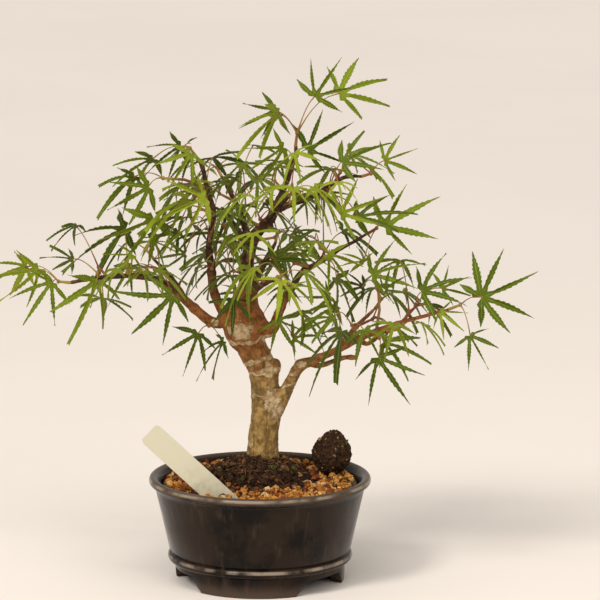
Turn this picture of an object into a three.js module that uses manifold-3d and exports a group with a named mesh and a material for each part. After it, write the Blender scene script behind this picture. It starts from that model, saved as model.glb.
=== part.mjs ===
// A Japanese maple bonsai growing in a round glazed pot.
// Millimetres, +Z up, front of the pot towards -Y, +X to the right.
// Origin: the pot's axis, at the level its feet stand on.

import * as THREE from 'three';
import { mergeVertices } from 'three/addons/utils/BufferGeometryUtils.js';
import Module from 'manifold-3d';

const wasm = await Module();
wasm.setup();

// ---------------------------------------------------------------- driving dimensions

const potHeight = 72;
const rimRadius = 75;
const lipWidth = 6;          // rim's outer edge to its inner edge
const lipHeight = 6;
const lipOverhang = 4;       // how far the rim stands out over the wall
const wallTaper = 10;        // how much the wall narrows from rim to foot
const wallThickness = 5.5;
const floorThickness = 7;
const beadHeight = 7;
const beadProud = 1.4;       // the lower bead stands this far out of the wall
const footHeight = 14;
const footSetIn = 4;         // foot ring inside the wall's lower edge
const footRingWidth = 9;
const footCount = 3;
const footTurn = -99;        // degrees, direction of the foot near the front
const footSpan = 70;         // degrees that each foot takes
const archHeight = 10;       // opening between two feet

const gridPitch = 6;         // drainage mesh
const gridHoles = 4;         // openings along each side
const gridBar = 2;
const gridThickness = 1.2;
const clipWire = 1.6;        // diameter of the wire that holds the mesh
const clipFoot = 9;          // length bent out under the pot
const drainMargin = 2.4;     // drain hole's edge to the wire

const soilDrop = 8;          // rim's top down to the soil block's top
const gritDepth = 3;
const moundRadius = 35;
const moundHeight = 15;
const moundCentre = [-2, 8];
const ballWidth = 27.5;
const ballHeight = 31;
const ballTurn = 23;         // degrees, direction of the ball from the pot's axis
const ballTuck = 1.5;        // how far the ball's side leans in under the rim
const ballSink = 1;          // how deep the ball sits in the grit
const labelWidth = 16;
const labelLength = 120;
const labelThickness = 0.8;
const labelLean = 46.8;      // degrees from upright, to the left
const labelBuried = 34;      // height of label under the soil's top
const labelInset = 16;       // pot's inside wall to the label's plane
const labelAcross = -22;     // where the label's middle line meets the soil's top
const labelPoint = 10;       // length of its pointed end
const labelCorner = 1.5;

const treeHeight = 294;      // soil to the topmost leaf tip
const drawnHeight = 294;     // height that the routes below are set out at
const rootReach = 40;
const rootDepth = 34;
const rootMargin = 12;       // least room between a root's middle line and the wall
const leafThickness = 0.8;
const stemRadius = 0.9;
const stalkRadii = [0.7, 0.65, 0.35];  // a leaf's own stalk, from the stem to the blade

const gap = 0.3;             // between pieces that rest on or against each other
const fitGap = 0.3;          // round what is sunk into the soil

// ---------------------------------------------------------------- worked out from them

const wallTopRadius = rimRadius - lipOverhang;
const wallFootRadius = wallTopRadius - wallTaper;
const wallFootZ = footHeight + beadHeight;
const wallTopZ = potHeight - lipHeight;
const footRadius = wallFootRadius - footSetIn;
const floorZ = footHeight + floorThickness;
const soilZ = potHeight - soilDrop;
const grow = treeHeight / drawnHeight;
const treeFoot = [2, 18];

function insideRadius(z) {
  const share = (z - wallFootZ) / (wallTopZ - wallFootZ);
  return wallFootRadius + wallTaper * share - wallThickness;
}

const rad = THREE.MathUtils.degToRad;
const vec = (x, y, z) => new THREE.Vector3(x, y, z);

// ---------------------------------------------------------------- solids: join and cut

function solid(geometry) {
  const bare = geometry.clone();
  bare.deleteAttribute('normal');
  bare.deleteAttribute('uv');
  const merged = mergeVertices(bare, 1e-4);
  return new wasm.Manifold(new wasm.Mesh({
    numProp: 3,
    vertProperties: new Float32Array(merged.attributes.position.array),
    triVerts: new Uint32Array(merged.index.array),
  }));
}

function joined(geometries) {
  return geometries.map(solid).reduce((whole, next) => whole.add(next));
}

// What a cut leaves loose is trimmed off: only the largest body stays.
function largestBody(body) {
  return body.decompose().sort((a, b) => b.volume() - a.volume())[0];
}

function geometryOf(body) {
  const { vertProperties, triVerts } = body.getMesh();
  const geometry = new THREE.BufferGeometry();
  geometry.setAttribute('position', new THREE.BufferAttribute(vertProperties, 3));
  geometry.setIndex(new THREE.BufferAttribute(triVerts, 1));
  return geometry;
}

// A turned shape about Z from [radius, height] points.
function turned(profile, segments) {
  const points = profile.map(([radius, z]) => new THREE.Vector2(radius, z));
  return new THREE.LatheGeometry(points, segments).rotateX(Math.PI / 2);
}

// A round limb that follows a route of [x, y, z, radius] stations and tapers between them.
function limb(route, sides, steps, extra = 0) {
  const curve = new THREE.CatmullRomCurve3(route.map(([x, y, z]) => vec(x, y, z)), false, 'centripetal');
  const frames = curve.computeFrenetFrames(steps);
  const geometry = new THREE.CylinderGeometry(1, 1, 1, sides, steps);
  const position = geometry.attributes.position;
  for (let i = 0; i < position.count; i += 1) {
    const share = position.getY(i) + 0.5;
    const step = Math.round(share * steps);
    const arc = curve.getUtoTmapping(step / steps) * (route.length - 1);
    const from = Math.min(Math.floor(arc), route.length - 2);
    const radius = THREE.MathUtils.lerp(route[from][3], route[from + 1][3], arc - from) + extra;
    const point = curve.getPointAt(step / steps);
    const end = step === 0 ? -extra : step === steps ? extra : 0;
    point.addScaledVector(frames.tangents[step], end);
    point.addScaledVector(frames.binormals[step], position.getX(i) * radius);
    point.addScaledVector(frames.normals[step], position.getZ(i) * radius);
    position.setXYZ(i, point.x, point.y, point.z);
  }
  return geometry;
}

function ellipsoid([x, y, z], radii, detail) {
  return new THREE.IcosahedronGeometry(1, detail).scale(...radii).translate(x, y, z);
}

// ---------------------------------------------------------------- the pot

function potSolid() {
  const lipInner = rimRadius - lipWidth;
  const inside = insideRadius(wallTopZ);
  const drain = drainRadius();
  const body = solid(turned([
    [drain, footHeight],
    [footRadius - footRingWidth, footHeight],
    [footRadius - footRingWidth, 0],
    [footRadius, 0],
    [footRadius, footHeight - 1],
    [wallFootRadius, footHeight],
    [wallFootRadius + beadProud, footHeight + beadHeight / 2],
    [wallFootRadius, wallFootZ],
    [wallTopRadius, wallTopZ],
    [rimRadius - 1.2, wallTopZ + 0.4],
    [rimRadius, wallTopZ + lipHeight / 2],
    [rimRadius - 0.9, potHeight - 0.7],
    [rimRadius - lipWidth / 2, potHeight],
    [lipInner, potHeight - 1.5],
    [inside, wallTopZ - 2],
    [insideRadius(floorZ), floorZ],
    [drain, floorZ],
    [drain, footHeight],
  ], 36));
  let pot = body;
  for (let i = 0; i < footCount; i += 1) {
    const turn = rad(footTurn + (i + 0.5) * 360 / footCount);
    pot = pot.subtract(solid(archCutter(turn)));
  }
  return pot;
}

// The opening between two feet: flat on top, with an S-curve down to each foot.
function archCutter(turn) {
  const halfWidth = footRadius * Math.sin(rad(360 / footCount - footSpan) / 2);
  const swing = archHeight * 0.8;
  const shape = new THREE.Shape();
  shape.moveTo(-halfWidth, -1);
  shape.lineTo(-halfWidth, 1.5);
  shape.bezierCurveTo(-halfWidth + swing * 0.2, archHeight * 0.7, -halfWidth + swing * 0.6, archHeight * 0.5,
    -halfWidth + swing, archHeight);
  shape.lineTo(halfWidth - swing, archHeight);
  shape.bezierCurveTo(halfWidth - swing * 0.6, archHeight * 0.5, halfWidth - swing * 0.2, archHeight * 0.7,
    halfWidth, 1.5);
  shape.lineTo(halfWidth, -1);
  const cutter = new THREE.ExtrudeGeometry(shape, {
    depth: footRingWidth * 3, bevelEnabled: false, curveSegments: 4,
  });
  const outward = vec(Math.cos(turn), Math.sin(turn), 0);
  const up = vec(0, 0, 1);
  const along = up.clone().cross(outward);
  cutter.applyMatrix4(new THREE.Matrix4().makeBasis(along, up, outward));
  return cutter.translate(...outward.multiplyScalar(footRadius - footRingWidth * 2).toArray());
}

// ---------------------------------------------------------------- drainage mesh and its clip

function drainRadius() {
  return gridPitch / 2 * Math.SQRT2 + clipWire / 2 + drainMargin;
}

function drainageMesh() {
  const side = gridHoles * gridPitch + gridBar;
  const open = gridPitch - gridBar;
  let sheet = solid(new THREE.BoxGeometry(side, side, gridThickness));
  for (let column = 0; column < gridHoles; column += 1) {
    for (let row = 0; row < gridHoles; row += 1) {
      const hole = new THREE.BoxGeometry(open, open, gridThickness * 2);
      hole.translate((column - (gridHoles - 1) / 2) * gridPitch, (row - (gridHoles - 1) / 2) * gridPitch, 0);
      sheet = sheet.subtract(solid(hole));
    }
  }
  return geometryOf(sheet.translate(0, 0, floorZ + gap + gridThickness / 2));
}

// The clip goes down through two openings of the mesh and turns out under the pot's floor.
function clipWireGeometry() {
  const row = gridPitch / 2;
  const leg = gridPitch / 2;
  const under = footHeight - clipWire / 2 - gap;
  const over = floorZ + gap + gridThickness + clipWire / 2 + gap;
  const bend = 1.2;
  const half = [
    [leg - bend, over], [leg, over - bend], [leg, under + bend], [leg + bend, under], [leg + clipFoot, under],
  ];
  const route = [
    ...half.map(([x, z]) => [-x, row, z, clipWire / 2]).reverse(),
    ...half.map(([x, z]) => [x, row, z, clipWire / 2]),
  ];
  return limb(route, 5, 18);
}

// ---------------------------------------------------------------- woody tree: routes above the soil

const limbs = {
  trunk: { sides: 9, steps: 19, route: [
    [2, 18, -12, 11.5], [2, 18, 4, 12], [1.8, 18, 16, 11], [2.4, 18, 32, 10.3], [3.6, 17, 45, 9.9],
    [3.6, 16, 56, 9.4], [3.3, 15, 68, 9.5], [1.5, 14.5, 78, 9.6], [-2.2, 14, 87, 9.8], [-6, 13, 95, 10.3],
    [-9.4, 12, 103, 13.6], [-10.5, 11, 111, 15], [-11, 10, 119, 12], [-9.5, 9, 129, 8], [-9, 8, 137, 5.5]] },
  leader: { sides: 6, steps: 14, route: [
    [-10, 9, 127, 7], [-9, 8, 137, 5.2], [-8.4, 6, 153, 4.6], [-3.7, 4, 170, 4], [1.7, 3, 177, 3.6],
    [7.4, 2, 183, 3.2], [9.7, 0, 188, 3.3], [13.5, 0, 197, 2.4], [17.4, 0, 207, 2], [21.1, 0, 217, 1.7],
    [24.3, 0, 228, 1.4], [24, 0, 233, 1.2]] },
  left_long: { sides: 5, steps: 10, route: [
    [-12, 9, 113, 5], [-22, 8, 111, 4], [-32, 5, 112, 3.6], [-46, 2, 124, 3], [-62, -2, 139, 2.6],
    [-77, -5, 145, 2.2], [-88, -8, 146, 1.9], [-107, -10, 145, 1.5], [-127, -12, 142, 1.1]] },
  left_upright: { sides: 5, steps: 9, route: [
    [-22, 8, 111, 3.2], [-31, 5, 134, 3], [-32.5, 4, 151, 2.6], [-34, 2, 162, 2.4], [-32.5, 0, 175, 2],
    [-30.5, -2, 188, 1.8], [-35, -4, 205, 1.5], [-38, -5, 219, 1.3], [-42.5, -6, 227, 1.1]] },
  low_right: { sides: 6, steps: 14, route: [
    [4, 16, 40, 6], [10.5, 15, 51, 6], [16.5, 12.5, 62, 4.8], [20, 11, 69, 4.1], [25.5, 8.5, 79, 3.7],
    [28, 8, 82, 4.1], [35, 6, 85, 3.1], [42, 4, 88.5, 2.6], [54.6, 0, 95, 2.3], [68, -4, 103, 2.1], [78, -7, 108, 1.9],
    [87.4, -9, 112, 1.7], [95, -10, 115, 1.5], [113.5, -11, 120, 1.1], [127, -12, 124, 1]] },
  low_right_twig: { sides: 5, steps: 4, route: [
    [32, 6, 84, 1.8], [39, 7, 81.5, 1.7], [57, 8, 87, 1.5], [65, 8, 87, 1.7]] },
  short_right_twig: { sides: 5, steps: 4, route: [[66, -3, 102, 1.6], [72, 0, 98, 1.5], [81, 4, 103, 1.2]] },
  dark_left: { sides: 5, steps: 4, route: [[-6, 6, 160, 2.6], [-16.4, 12, 175.5, 2], [-26, 14, 188.5, 1.5]] },
  right_upper: { sides: 5, steps: 6, route: [
    [9.7, 0, 188, 2.4], [21.8, -4, 194, 2], [33.8, -8, 199, 1.8], [44, -12, 206, 1.6], [57, -16, 214, 1.3],
    [69, -19, 215, 1]] },
  mid_right: { sides: 5, steps: 9, route: [
    [-2, 10, 104, 5], [7, 9, 105, 4], [11, 8, 113, 3.2], [15, 7, 123, 2.7], [21, 5, 134, 2.3],
    [28, 3, 146, 2],
    [40.5, 0, 154, 1.6], [57, -8, 166, 1.3], [64, -10, 170, 1.2], [73, -11, 176, 1]] },
  back_high: { sides: 5, steps: 5, route: [
    [-6, 6, 160, 2.8], [-12, 24, 180, 2.2], [-20, 42, 194, 1.6], [-26, 58, 202, 1]] },
  back_low: { sides: 5, steps: 5, route: [
    [-11, 12, 118, 4], [-5, 32, 132, 3], [3, 52, 144, 2.2], [10, 70, 154, 1.2]] },
  front_high: { sides: 5, steps: 3, route: [[4, 3, 180, 2.4], [14, -20, 196, 1.8], [20, -38, 205, 1.1]] },
  front_low: { sides: 5, steps: 4, route: [
    [-10, 6, 124, 3.2], [-2, -18, 139, 2.4], [7, -38, 148, 1.7], [14, -55, 152, 1]] },
  left_back: { sides: 4, steps: 3, route: [[-50, 1, 128, 2.2], [-60, 24, 139, 1.7], [-72, 42, 148, 1]] },
  left_front: { sides: 4, steps: 3, route: [[-64, -2, 140, 2], [-73, -24, 147, 1.5], [-82, -42, 151, 1]] },
  right_back: { sides: 4, steps: 3, route: [[52, 1, 94, 2], [65, 24, 105, 1.6], [78, 42, 114, 1]] },
  right_front: { sides: 4, steps: 3, route: [[68, -4, 103, 1.9], [80, -26, 111, 1.4], [91, -42, 116, 1]] },
};

// Swellings: old pruning wounds, the head's burls and the root flare's shoulder.
const burls = [
  [[9.5, 11, 80], [4.8, 4.6, 6.2]], [[-18, 8, 113], [8.5, 7.5, 7]], [[-2, 8, 110], [8, 7, 7]],
  [[12, 13, 5], [6.5, 6, 8]], [[6, 1, 177], [3.6, 3.6, 3.4]], [[-9, 11, 166], [3.6, 3.6, 4]],
];

const raise = (z) => soilZ + z * grow;
const placed = ([x, y, z, ...rest]) => [x * grow, y * grow, raise(z), ...rest];

function limbGeometry({ route, sides, steps }, extra) {
  return limb(route.map(placed), sides, steps, extra);
}

function rootGeometries(extra) {
  return [20, 92, 165, 238, 306].map((turn) => {
    const direction = vec(Math.cos(rad(turn)), Math.sin(rad(turn)), 0);
    const foot = vec(treeFoot[0] * grow, treeFoot[1] * grow, 0);
    const room = insideRadius(soilZ - rootDepth) - rootMargin;
    const along = foot.dot(direction);
    const reach = Math.min(rootReach, Math.sqrt(along ** 2 + room ** 2 - foot.lengthSq()) - along);
    const station = (share, z, radius) => {
      const point = foot.clone().addScaledVector(direction, reach * share);
      return [point.x, point.y, soilZ + z, radius];
    };
    return limb([
      station(0.06, 2, 5), station(0.4, -rootDepth * 0.3, 4), station(0.72, -rootDepth * 0.68, 2.8),
      station(1, -rootDepth, 1.4),
    ], 6, 5, extra);
  });
}

function woodSolid(extra = 0) {
  const swellings = burls.map(([centre, radii]) => (
    ellipsoid(placed(centre), radii.map((radius) => radius + extra), 1)));
  return joined([
    ...Object.values(limbs).map((each) => limbGeometry(each, extra)),
    ...rootGeometries(extra),
    ...swellings,
  ]);
}

// ---------------------------------------------------------------- leaf sprays

// Each spray: stem stations, then its leaves as
// [x, y, z of the blade's foot, heading, lean, roll, length of the middle lobe, lobes].
// heading turns from +X up in the XZ plane, lean turns towards the back, roll turns the blade about
// its middle lobe (90 faces the front).
const sprays = {
  apex_spray: { stem: [[24, 0, 232], [25, 0, 241]], leaves: [
    [37, -4, 266, 59, -10, 80, 33, 5], [53, 10, 266, 21, 20, 60, 38, 5],
    [11, 6, 256, -153, 10, 75, 27, 5], [13, -12, 256, -141, -10, 35, 43, 5]] },
  leader_spray: { stem: [[21.1, 0, 217], [24, -6, 223]], leaves: [
    [16, -14, 233, -152, -10, 60, 30, 5], [32, 0, 230, 31, 0, 85, 36, 5]] },
  upper_right_tip_spray: { stem: [[68, -19, 215], [74, -20, 217]], leaves: [
    [55, -26, 225, 32, -10, 40, 35, 5], [83, -16, 225, 20, 0, 75, 24, 5]] },
  upper_right_spray: { stem: [[44, -12, 206], [50, -20, 202]], leaves: [
    [54, -30, 196, 27, -20, 80, 32, 5], [65, -12, 186, 18, 0, 30, 38, 5]] },
  mid_right_tip_spray: { stem: [[72, -11, 175], [78, -12, 179]], leaves: [
    [84, -14, 182, 33, 0, 72, 42, 5], [70, -22, 182, 150, -30, 60, 24, 5]] },
  mid_right_spray: { stem: [[44, -1, 156], [47, -10, 157]], leaves: [
    [46, -24, 162, -51, -20, 80, 27, 5], [51, -14, 146, -65, 0, 30, 35, 5]] },
  right_riser_spray: { stem: [[78, -7, 108], [80, -14, 124], [79, -18, 138]], leaves: [
    [75, -22, 149, 27, -10, 50, 35, 5], [83, -30, 140, 40, -30, 70, 20, 5],
    [70, -8, 140, 160, 20, 50, 24, 5]] },
  low_right_spray: { stem: [[95, -10, 115], [104, -13, 126]], leaves: [
    [108, -18, 137, 31, -10, 45, 38, 5], [122, 4, 135, 22, 20, 70, 22, 5],
    [120, -22, 124, -30, -20, 60, 22, 5]] },
  right_tip_spray: { stem: [[126, -12, 123.8], [134, -12, 127]], leaves: [
    [148, -12, 132, 26, 0, 80, 44, 7], [140, -22, 124, -55, -20, 70, 24, 5]] },
  low_front_spray: { stem: [[78, -7, 108], [80, -15, 105]], leaves: [
    [79, -26, 94, -60, -15, 88, 35, 5], [83, -18, 104, -18, 0, 40, 34, 5]] },
  low_inner_spray: { stem: [[54.6, 0, 95], [54, -6, 104]], leaves: [
    [52, -16, 128, -156, -10, 50, 30, 5], [55, -26, 112, -125, -10, 35, 45, 5],
    [47, 6, 129, -176, 10, 80, 22, 5]] },
  head_right_spray: { stem: [[12, 8, 109], [14, 1, 113]], leaves: [
    [12, -10, 116, -60, -20, 80, 25, 5], [22, -6, 119, 12, -10, 60, 24, 5]] },
  centre_spray: { stem: [[-8.4, 6, 153], [-8, -4, 156]], leaves: [
    [-7, -14, 167, -92, -10, 85, 20, 5], [-5, -24, 151, -122, -10, 30, 41, 5],
    [10, -12, 161, 45, -10, 40, 34, 5]] },
  left_top_spray: { stem: [[-42, -6, 226], [-46, -7, 232]], leaves: [
    [-52, -10, 234, -150, 0, 55, 30, 5], [-45, -22, 231, -125, -20, 80, 28, 5],
    [-71, 4, 223, -153, 10, 40, 34, 5]] },
  left_upper_spray: { stem: [[-35, -4, 205], [-50, -8, 211], [-64, -8, 212]], leaves: [
    [-83, -6, 213, -144, 0, 50, 32, 5], [-73, -20, 208, -151, -10, 70, 33, 5],
    [-47, -26, 213, -140, -10, 30, 45, 5]] },
  left_inner_spray: { stem: [[-30.5, -2, 188], [-33, -10, 190]], leaves: [
    [-35, -18, 197, -162, -10, 85, 33, 5], [-49, -24, 188, -178, -20, 70, 20, 5],
    [-55, -12, 179, -134, 0, 60, 26, 5]] },
  left_mid_spray: { stem: [[-62, -2, 139], [-66, -8, 147]], leaves: [
    [-70, -20, 159, -125, -5, 50, 46, 5], [-57, -12, 132, -138, 5, 85, 40, 5]] },
  left_outer_spray: { stem: [[-88, -8, 146], [-88, -12, 157]], leaves: [
    [-89, -16, 180, -159, -5, 45, 48, 5], [-84, -28, 172, -140, -20, 75, 22, 5]] },
  left_fan_spray: { stem: [[-107, -10, 145], [-108, -14, 149]], leaves: [
    [-108, -20, 157, -112, -10, 55, 41, 5], [-125, -2, 156, 173, 10, 50, 22, 5]] },
  left_tip_spray: { stem: [[-126, -12, 142], [-134, -13, 143]], leaves: [
    [-147, -14, 152, -137, 0, 60, 37, 5], [-138, -26, 145, -125, -15, 80, 30, 5],
    [-156, 4, 150, -163, 10, 60, 31, 5]] },
  head_left_spray: { stem: [[-31, 5, 112], [-34, -3, 111]], leaves: [
    [-41, -14, 108, -116, -10, 70, 30, 5], [-24, -12, 102, -137, -20, 40, 28, 5]] },
};

// Sprays that a branch carries where no leaf is set out by hand:
// [limb, share of its length, direction round Z in degrees, leaves].
const plainSprays = {
  back_high_tip_spray: ['back_high', 1, 110, 3],
  back_high_spray: ['back_high', 0.6, 165, 2],
  back_low_tip_spray: ['back_low', 1, 82, 3],
  back_low_spray: ['back_low', 0.66, 20, 2],
  front_high_tip_spray: ['front_high', 1, -80, 3],
  front_low_tip_spray: ['front_low', 1, -85, 3],
  front_low_spray: ['front_low', 0.66, -140, 2],
  left_back_tip_spray: ['left_back', 1, 120, 2],
  left_back_spray: ['left_back', 0.55, 175, 2],
  left_front_tip_spray: ['left_front', 1, -80, 3],
  right_back_tip_spray: ['right_back', 1, 65, 2],
  right_back_spray: ['right_back', 0.55, 5, 2],
  right_front_tip_spray: ['right_front', 1, -70, 2],
  left_long_back_spray: ['left_long', 0.8, 125, 2],
  upper_right_back_spray: ['right_upper', 0.7, 70, 2],
  leader_back_spray: ['leader', 0.72, 120, 2],
  low_right_back_spray: ['low_right', 0.8, 70, 2],
  mid_right_back_spray: ['mid_right', 0.6, 60, 2],
  upright_back_spray: ['left_upright', 0.7, 115, 2],
};

const lobePlans = {
  5: [[-82, 0.58], [-40, 0.88], [0, 1], [40, 0.88], [82, 0.58]],
  7: [[-118, 0.42], [-78, 0.7], [-38, 0.9], [0, 1], [38, 0.9], [78, 0.7], [118, 0.42]],
};
const palmShare = 0.2;       // how far the notches between lobes stay from the blade's foot
const sag = 0.14;            // how far a lobe's tip bends back, as a share of the blade's length

// A small repeatable source of variation.
let draw = 41;
function chance(low, high) {
  draw = (draw * 16807) % 2147483647;
  return low + (high - low) * draw / 2147483647;
}

// Blade axes: along the middle lobe, across it, and out of its upper face.
function bladeAxes(along, level, roll) {
  const lift = along.clone().cross(level);
  const across = level.clone().multiplyScalar(Math.cos(rad(roll))).addScaledVector(lift, Math.sin(rad(roll)));
  const face = along.clone().cross(across);
  if (face.dot(vec(0, -0.5, 1)) < 0) {
    across.negate();
    face.negate();
  }
  return { along, across, face };
}

function setOutLeaf([x, y, z, heading, lean, roll, size, lobes], root) {
  const h = rad(heading);
  const l = rad(lean);
  const along = vec(Math.cos(h) * Math.cos(l), Math.sin(l), Math.sin(h) * Math.cos(l));
  const level = vec(Math.cos(h) * Math.sin(l), -Math.cos(l), Math.sin(h) * Math.sin(l));
  const foot = vec(...placed([x, y, z]));
  return { foot, root, size: size * grow, lobes, ...bladeAxes(along, level, roll) };
}

function plainLeaf(node, turn, droop, roll, stalk, size) {
  const t = rad(turn);
  const d = rad(droop);
  const along = vec(Math.cos(t) * Math.cos(d), Math.sin(t) * Math.cos(d), -Math.sin(d));
  const level = vec(-Math.sin(t), Math.cos(t), 0);
  const foot = node.clone().add(vec(Math.cos(t) * stalk, Math.sin(t) * stalk, stalk * 0.25));
  return { foot, root: node, size: size * grow, lobes: 5, ...bladeAxes(along, level, roll) };
}

function lobeTips({ foot, along, across, face, size, lobes }) {
  return lobePlans[lobes].map(([angle, reach]) => (
    foot.clone().addScaledVector(along, Math.cos(rad(angle)) * reach * size)
      .addScaledVector(across, Math.sin(rad(angle)) * reach * size)
      .addScaledVector(face, -sag * reach * reach * size)));
}

// Shortest distance between two straight stretches.
function between(a, b, c, d) {
  const u = b.clone().sub(a);
  const v = d.clone().sub(c);
  const w = a.clone().sub(c);
  const uu = u.dot(u);
  const uv = u.dot(v);
  const vv = v.dot(v);
  const uw = u.dot(w);
  const vw = v.dot(w);
  const spread = uu * vv - uv * uv;
  let s = spread > 1e-9 ? THREE.MathUtils.clamp((uv * vw - vv * uw) / spread, 0, 1) : 0;
  const t = THREE.MathUtils.clamp((uv * s + vw) / vv, 0, 1);
  s = THREE.MathUtils.clamp((uv * t - uw) / uu, 0, 1);
  return w.addScaledVector(u, s).addScaledVector(v, -t).length();
}

// What is already in the crown, as straight stretches with a radius.
const crown = [];

function stretches(points, radius) {
  return points.slice(1).map((point, i) => ({ from: points[i], to: point, radius }));
}

const lobeRadius = 2.4 * grow;

function leafStretches(leaf) {
  const lobes = lobeTips(leaf).map((tip) => ({ from: leaf.foot, to: tip, radius: lobeRadius }));
  const stalk = stretches([leaf.root, leaf.foot], stalkRadii[0]);
  return [...lobes, ...stalk.map((each) => ({ ...each, stalk: true }))];
}

function clearance(leaf, family) {
  let least = Infinity;
  for (const mine of leafStretches(leaf)) {
    for (const other of crown) {
      const shared = mine.stalk && other.family === family;
      if (shared) continue;
      const reach = 90 * grow;
      if (Math.abs(other.from.x - mine.from.x) > reach) continue;
      if (Math.abs(other.from.z - mine.from.z) > reach) continue;
      const apart = between(mine.from, mine.to, other.from, other.to) - mine.radius - other.radius;
      least = Math.min(least, apart);
    }
  }
  return least;
}

// A leaf that would touch what hangs there already moves back, forward, up or down until it is clear.
const strides = [vec(0, 5, -1.3), vec(0, -5, 1.3), vec(0, 0, -4), vec(0, 0, 4)]
  .map((stride) => stride.multiplyScalar(grow));

function settle(leaf, family) {
  let best = null;
  for (let i = 0; i < 41; i += 1) {
    const stride = strides[i % strides.length];
    const foot = leaf.foot.clone().addScaledVector(stride, Math.ceil(i / strides.length));
    const tried = { ...leaf, foot };
    const apart = clearance(tried, family);
    if (!best || apart > best.apart) best = { tried, apart };
    if (apart > 0.6) break;
  }
  crown.push(...leafStretches(best.tried).map((each) => ({ ...each, family })));
  return best.tried;
}

// A blade: narrow pointed lobes round the foot, with notches between them.
function bladeGeometry({ foot, along, across, face, size, lobes }) {
  const plan = lobePlans[lobes];
  const at = (angle, reach) => new THREE.Vector2(Math.cos(rad(angle)) * reach, Math.sin(rad(angle)) * reach);
  const outline = [at(180, 0.03)];
  plan.forEach(([angle, reach], i) => {
    outline.push(at(angle, reach));
    const next = plan[i + 1];
    if (next) outline.push(at((angle + next[0]) / 2, palmShare));
  });
  const blade = new THREE.ExtrudeGeometry(new THREE.Shape(outline), {
    depth: leafThickness, bevelEnabled: false,
  });
  const position = blade.attributes.position;
  for (let i = 0; i < position.count; i += 1) {
    const a = position.getX(i);
    const b = position.getY(i);
    const bend = -sag * (a * a + b * b) * size;
    const point = foot.clone().addScaledVector(along, a * size).addScaledVector(across, b * size)
      .addScaledVector(face, bend + position.getZ(i) - leafThickness / 2);
    position.setXYZ(i, point.x, point.y, point.z);
  }
  return blade;
}

function stalkGeometry({ root, foot, along }) {
  const rise = root.clone().lerp(foot, 0.5).add(vec(0, 0, root.distanceTo(foot) * 0.12));
  const end = foot.clone().addScaledVector(along, 1.2);
  const route = [root, rise, end].map((point, i) => [point.x, point.y, point.z, stalkRadii[i]]);
  return limb(route, 3, 2);
}

function stemGeometry(stem) {
  return limb(stem.map((point) => [point.x, point.y, point.z, stemRadius]), 4, stem.length);
}

const alongLimb = (name, share) => {
  const route = limbs[name].route.map(placed).map(([x, y, z]) => vec(x, y, z));
  return new THREE.CatmullRomCurve3(route, false, 'centripetal').getPointAt(share);
};

function handSetSpray(name, { stem, leaves }) {
  const stations = stem.map((station) => vec(...placed(station)));
  const root = stations.at(-1);
  return { name, stem: stations, leaves: leaves.map((leaf) => setOutLeaf(leaf, root)) };
}

function plainSpray(name, [limbName, share, turn, count]) {
  const start = alongLimb(limbName, share);
  const out = vec(Math.cos(rad(turn)), Math.sin(rad(turn)), 0.45);
  const end = start.clone().addScaledVector(out, 11 * grow);
  const sides = count === 3 ? [-62, 58, 0] : [-48, 44];
  const leaves = sides.map((side) => plainLeaf(end, turn + side + chance(-9, 9), chance(22, 48), chance(-24, 24),
    chance(13, 19) * grow, chance(25, 33)));
  return { name, stem: [start, end], leaves };
}

function sprayGeometries(wood) {
  for (const each of Object.values(limbs)) {
    const points = each.route.map(placed);
    points.slice(1).forEach((point, i) => {
      const radius = Math.max(points[i][3], point[3]);
      const [from, to] = [vec(...points[i].slice(0, 3)), vec(...point.slice(0, 3))];
      crown.push({ from, to, radius, family: 'wood' });
    });
  }
  const all = [
    ...Object.entries(sprays).map(([name, spray]) => handSetSpray(name, spray)),
    ...Object.entries(plainSprays).map(([name, spray]) => plainSpray(name, spray)),
  ];
  all.forEach(({ name, stem }) => {
    crown.push(...stretches(stem, stemRadius).map((each) => ({ ...each, family: name })));
  });
  return all.map(({ name, stem, leaves }) => {
    const settled = leaves.map((leaf) => settle(leaf, name));
    const leafPieces = settled.flatMap((leaf) => [stalkGeometry(leaf), bladeGeometry(leaf)]);
    const pieces = [stemGeometry(stem), ...leafPieces];
    return [name, geometryOf(largestBody(joined(pieces).subtract(wood)))];
  });
}

// ---------------------------------------------------------------- what fills and dresses the pot

function labelGeometry(extra = 0) {
  const plate = new THREE.Shape();
  const half = labelWidth / 2 + extra;
  const end = labelLength / 2 + extra;
  plate.moveTo(-half, -end + labelPoint);
  plate.lineTo(0, -end);
  plate.lineTo(half, -end + labelPoint);
  plate.lineTo(half, end - labelCorner);
  plate.lineTo(half - labelCorner, end);
  plate.lineTo(-half + labelCorner, end);
  plate.lineTo(-half, end - labelCorner);
  const depth = labelThickness + extra * 2;
  const label = new THREE.ExtrudeGeometry(plate, { depth, bevelEnabled: false });
  const lean = rad(labelLean);
  const buriedLength = labelBuried / Math.cos(lean);
  const middle = labelLength / 2 - buriedLength;
  const plane = -(insideRadius(soilZ) - labelInset);
  return label.translate(0, middle, -depth / 2).rotateX(Math.PI / 2).rotateY(-lean)
    .translate(labelAcross, plane, soilZ);
}

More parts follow.
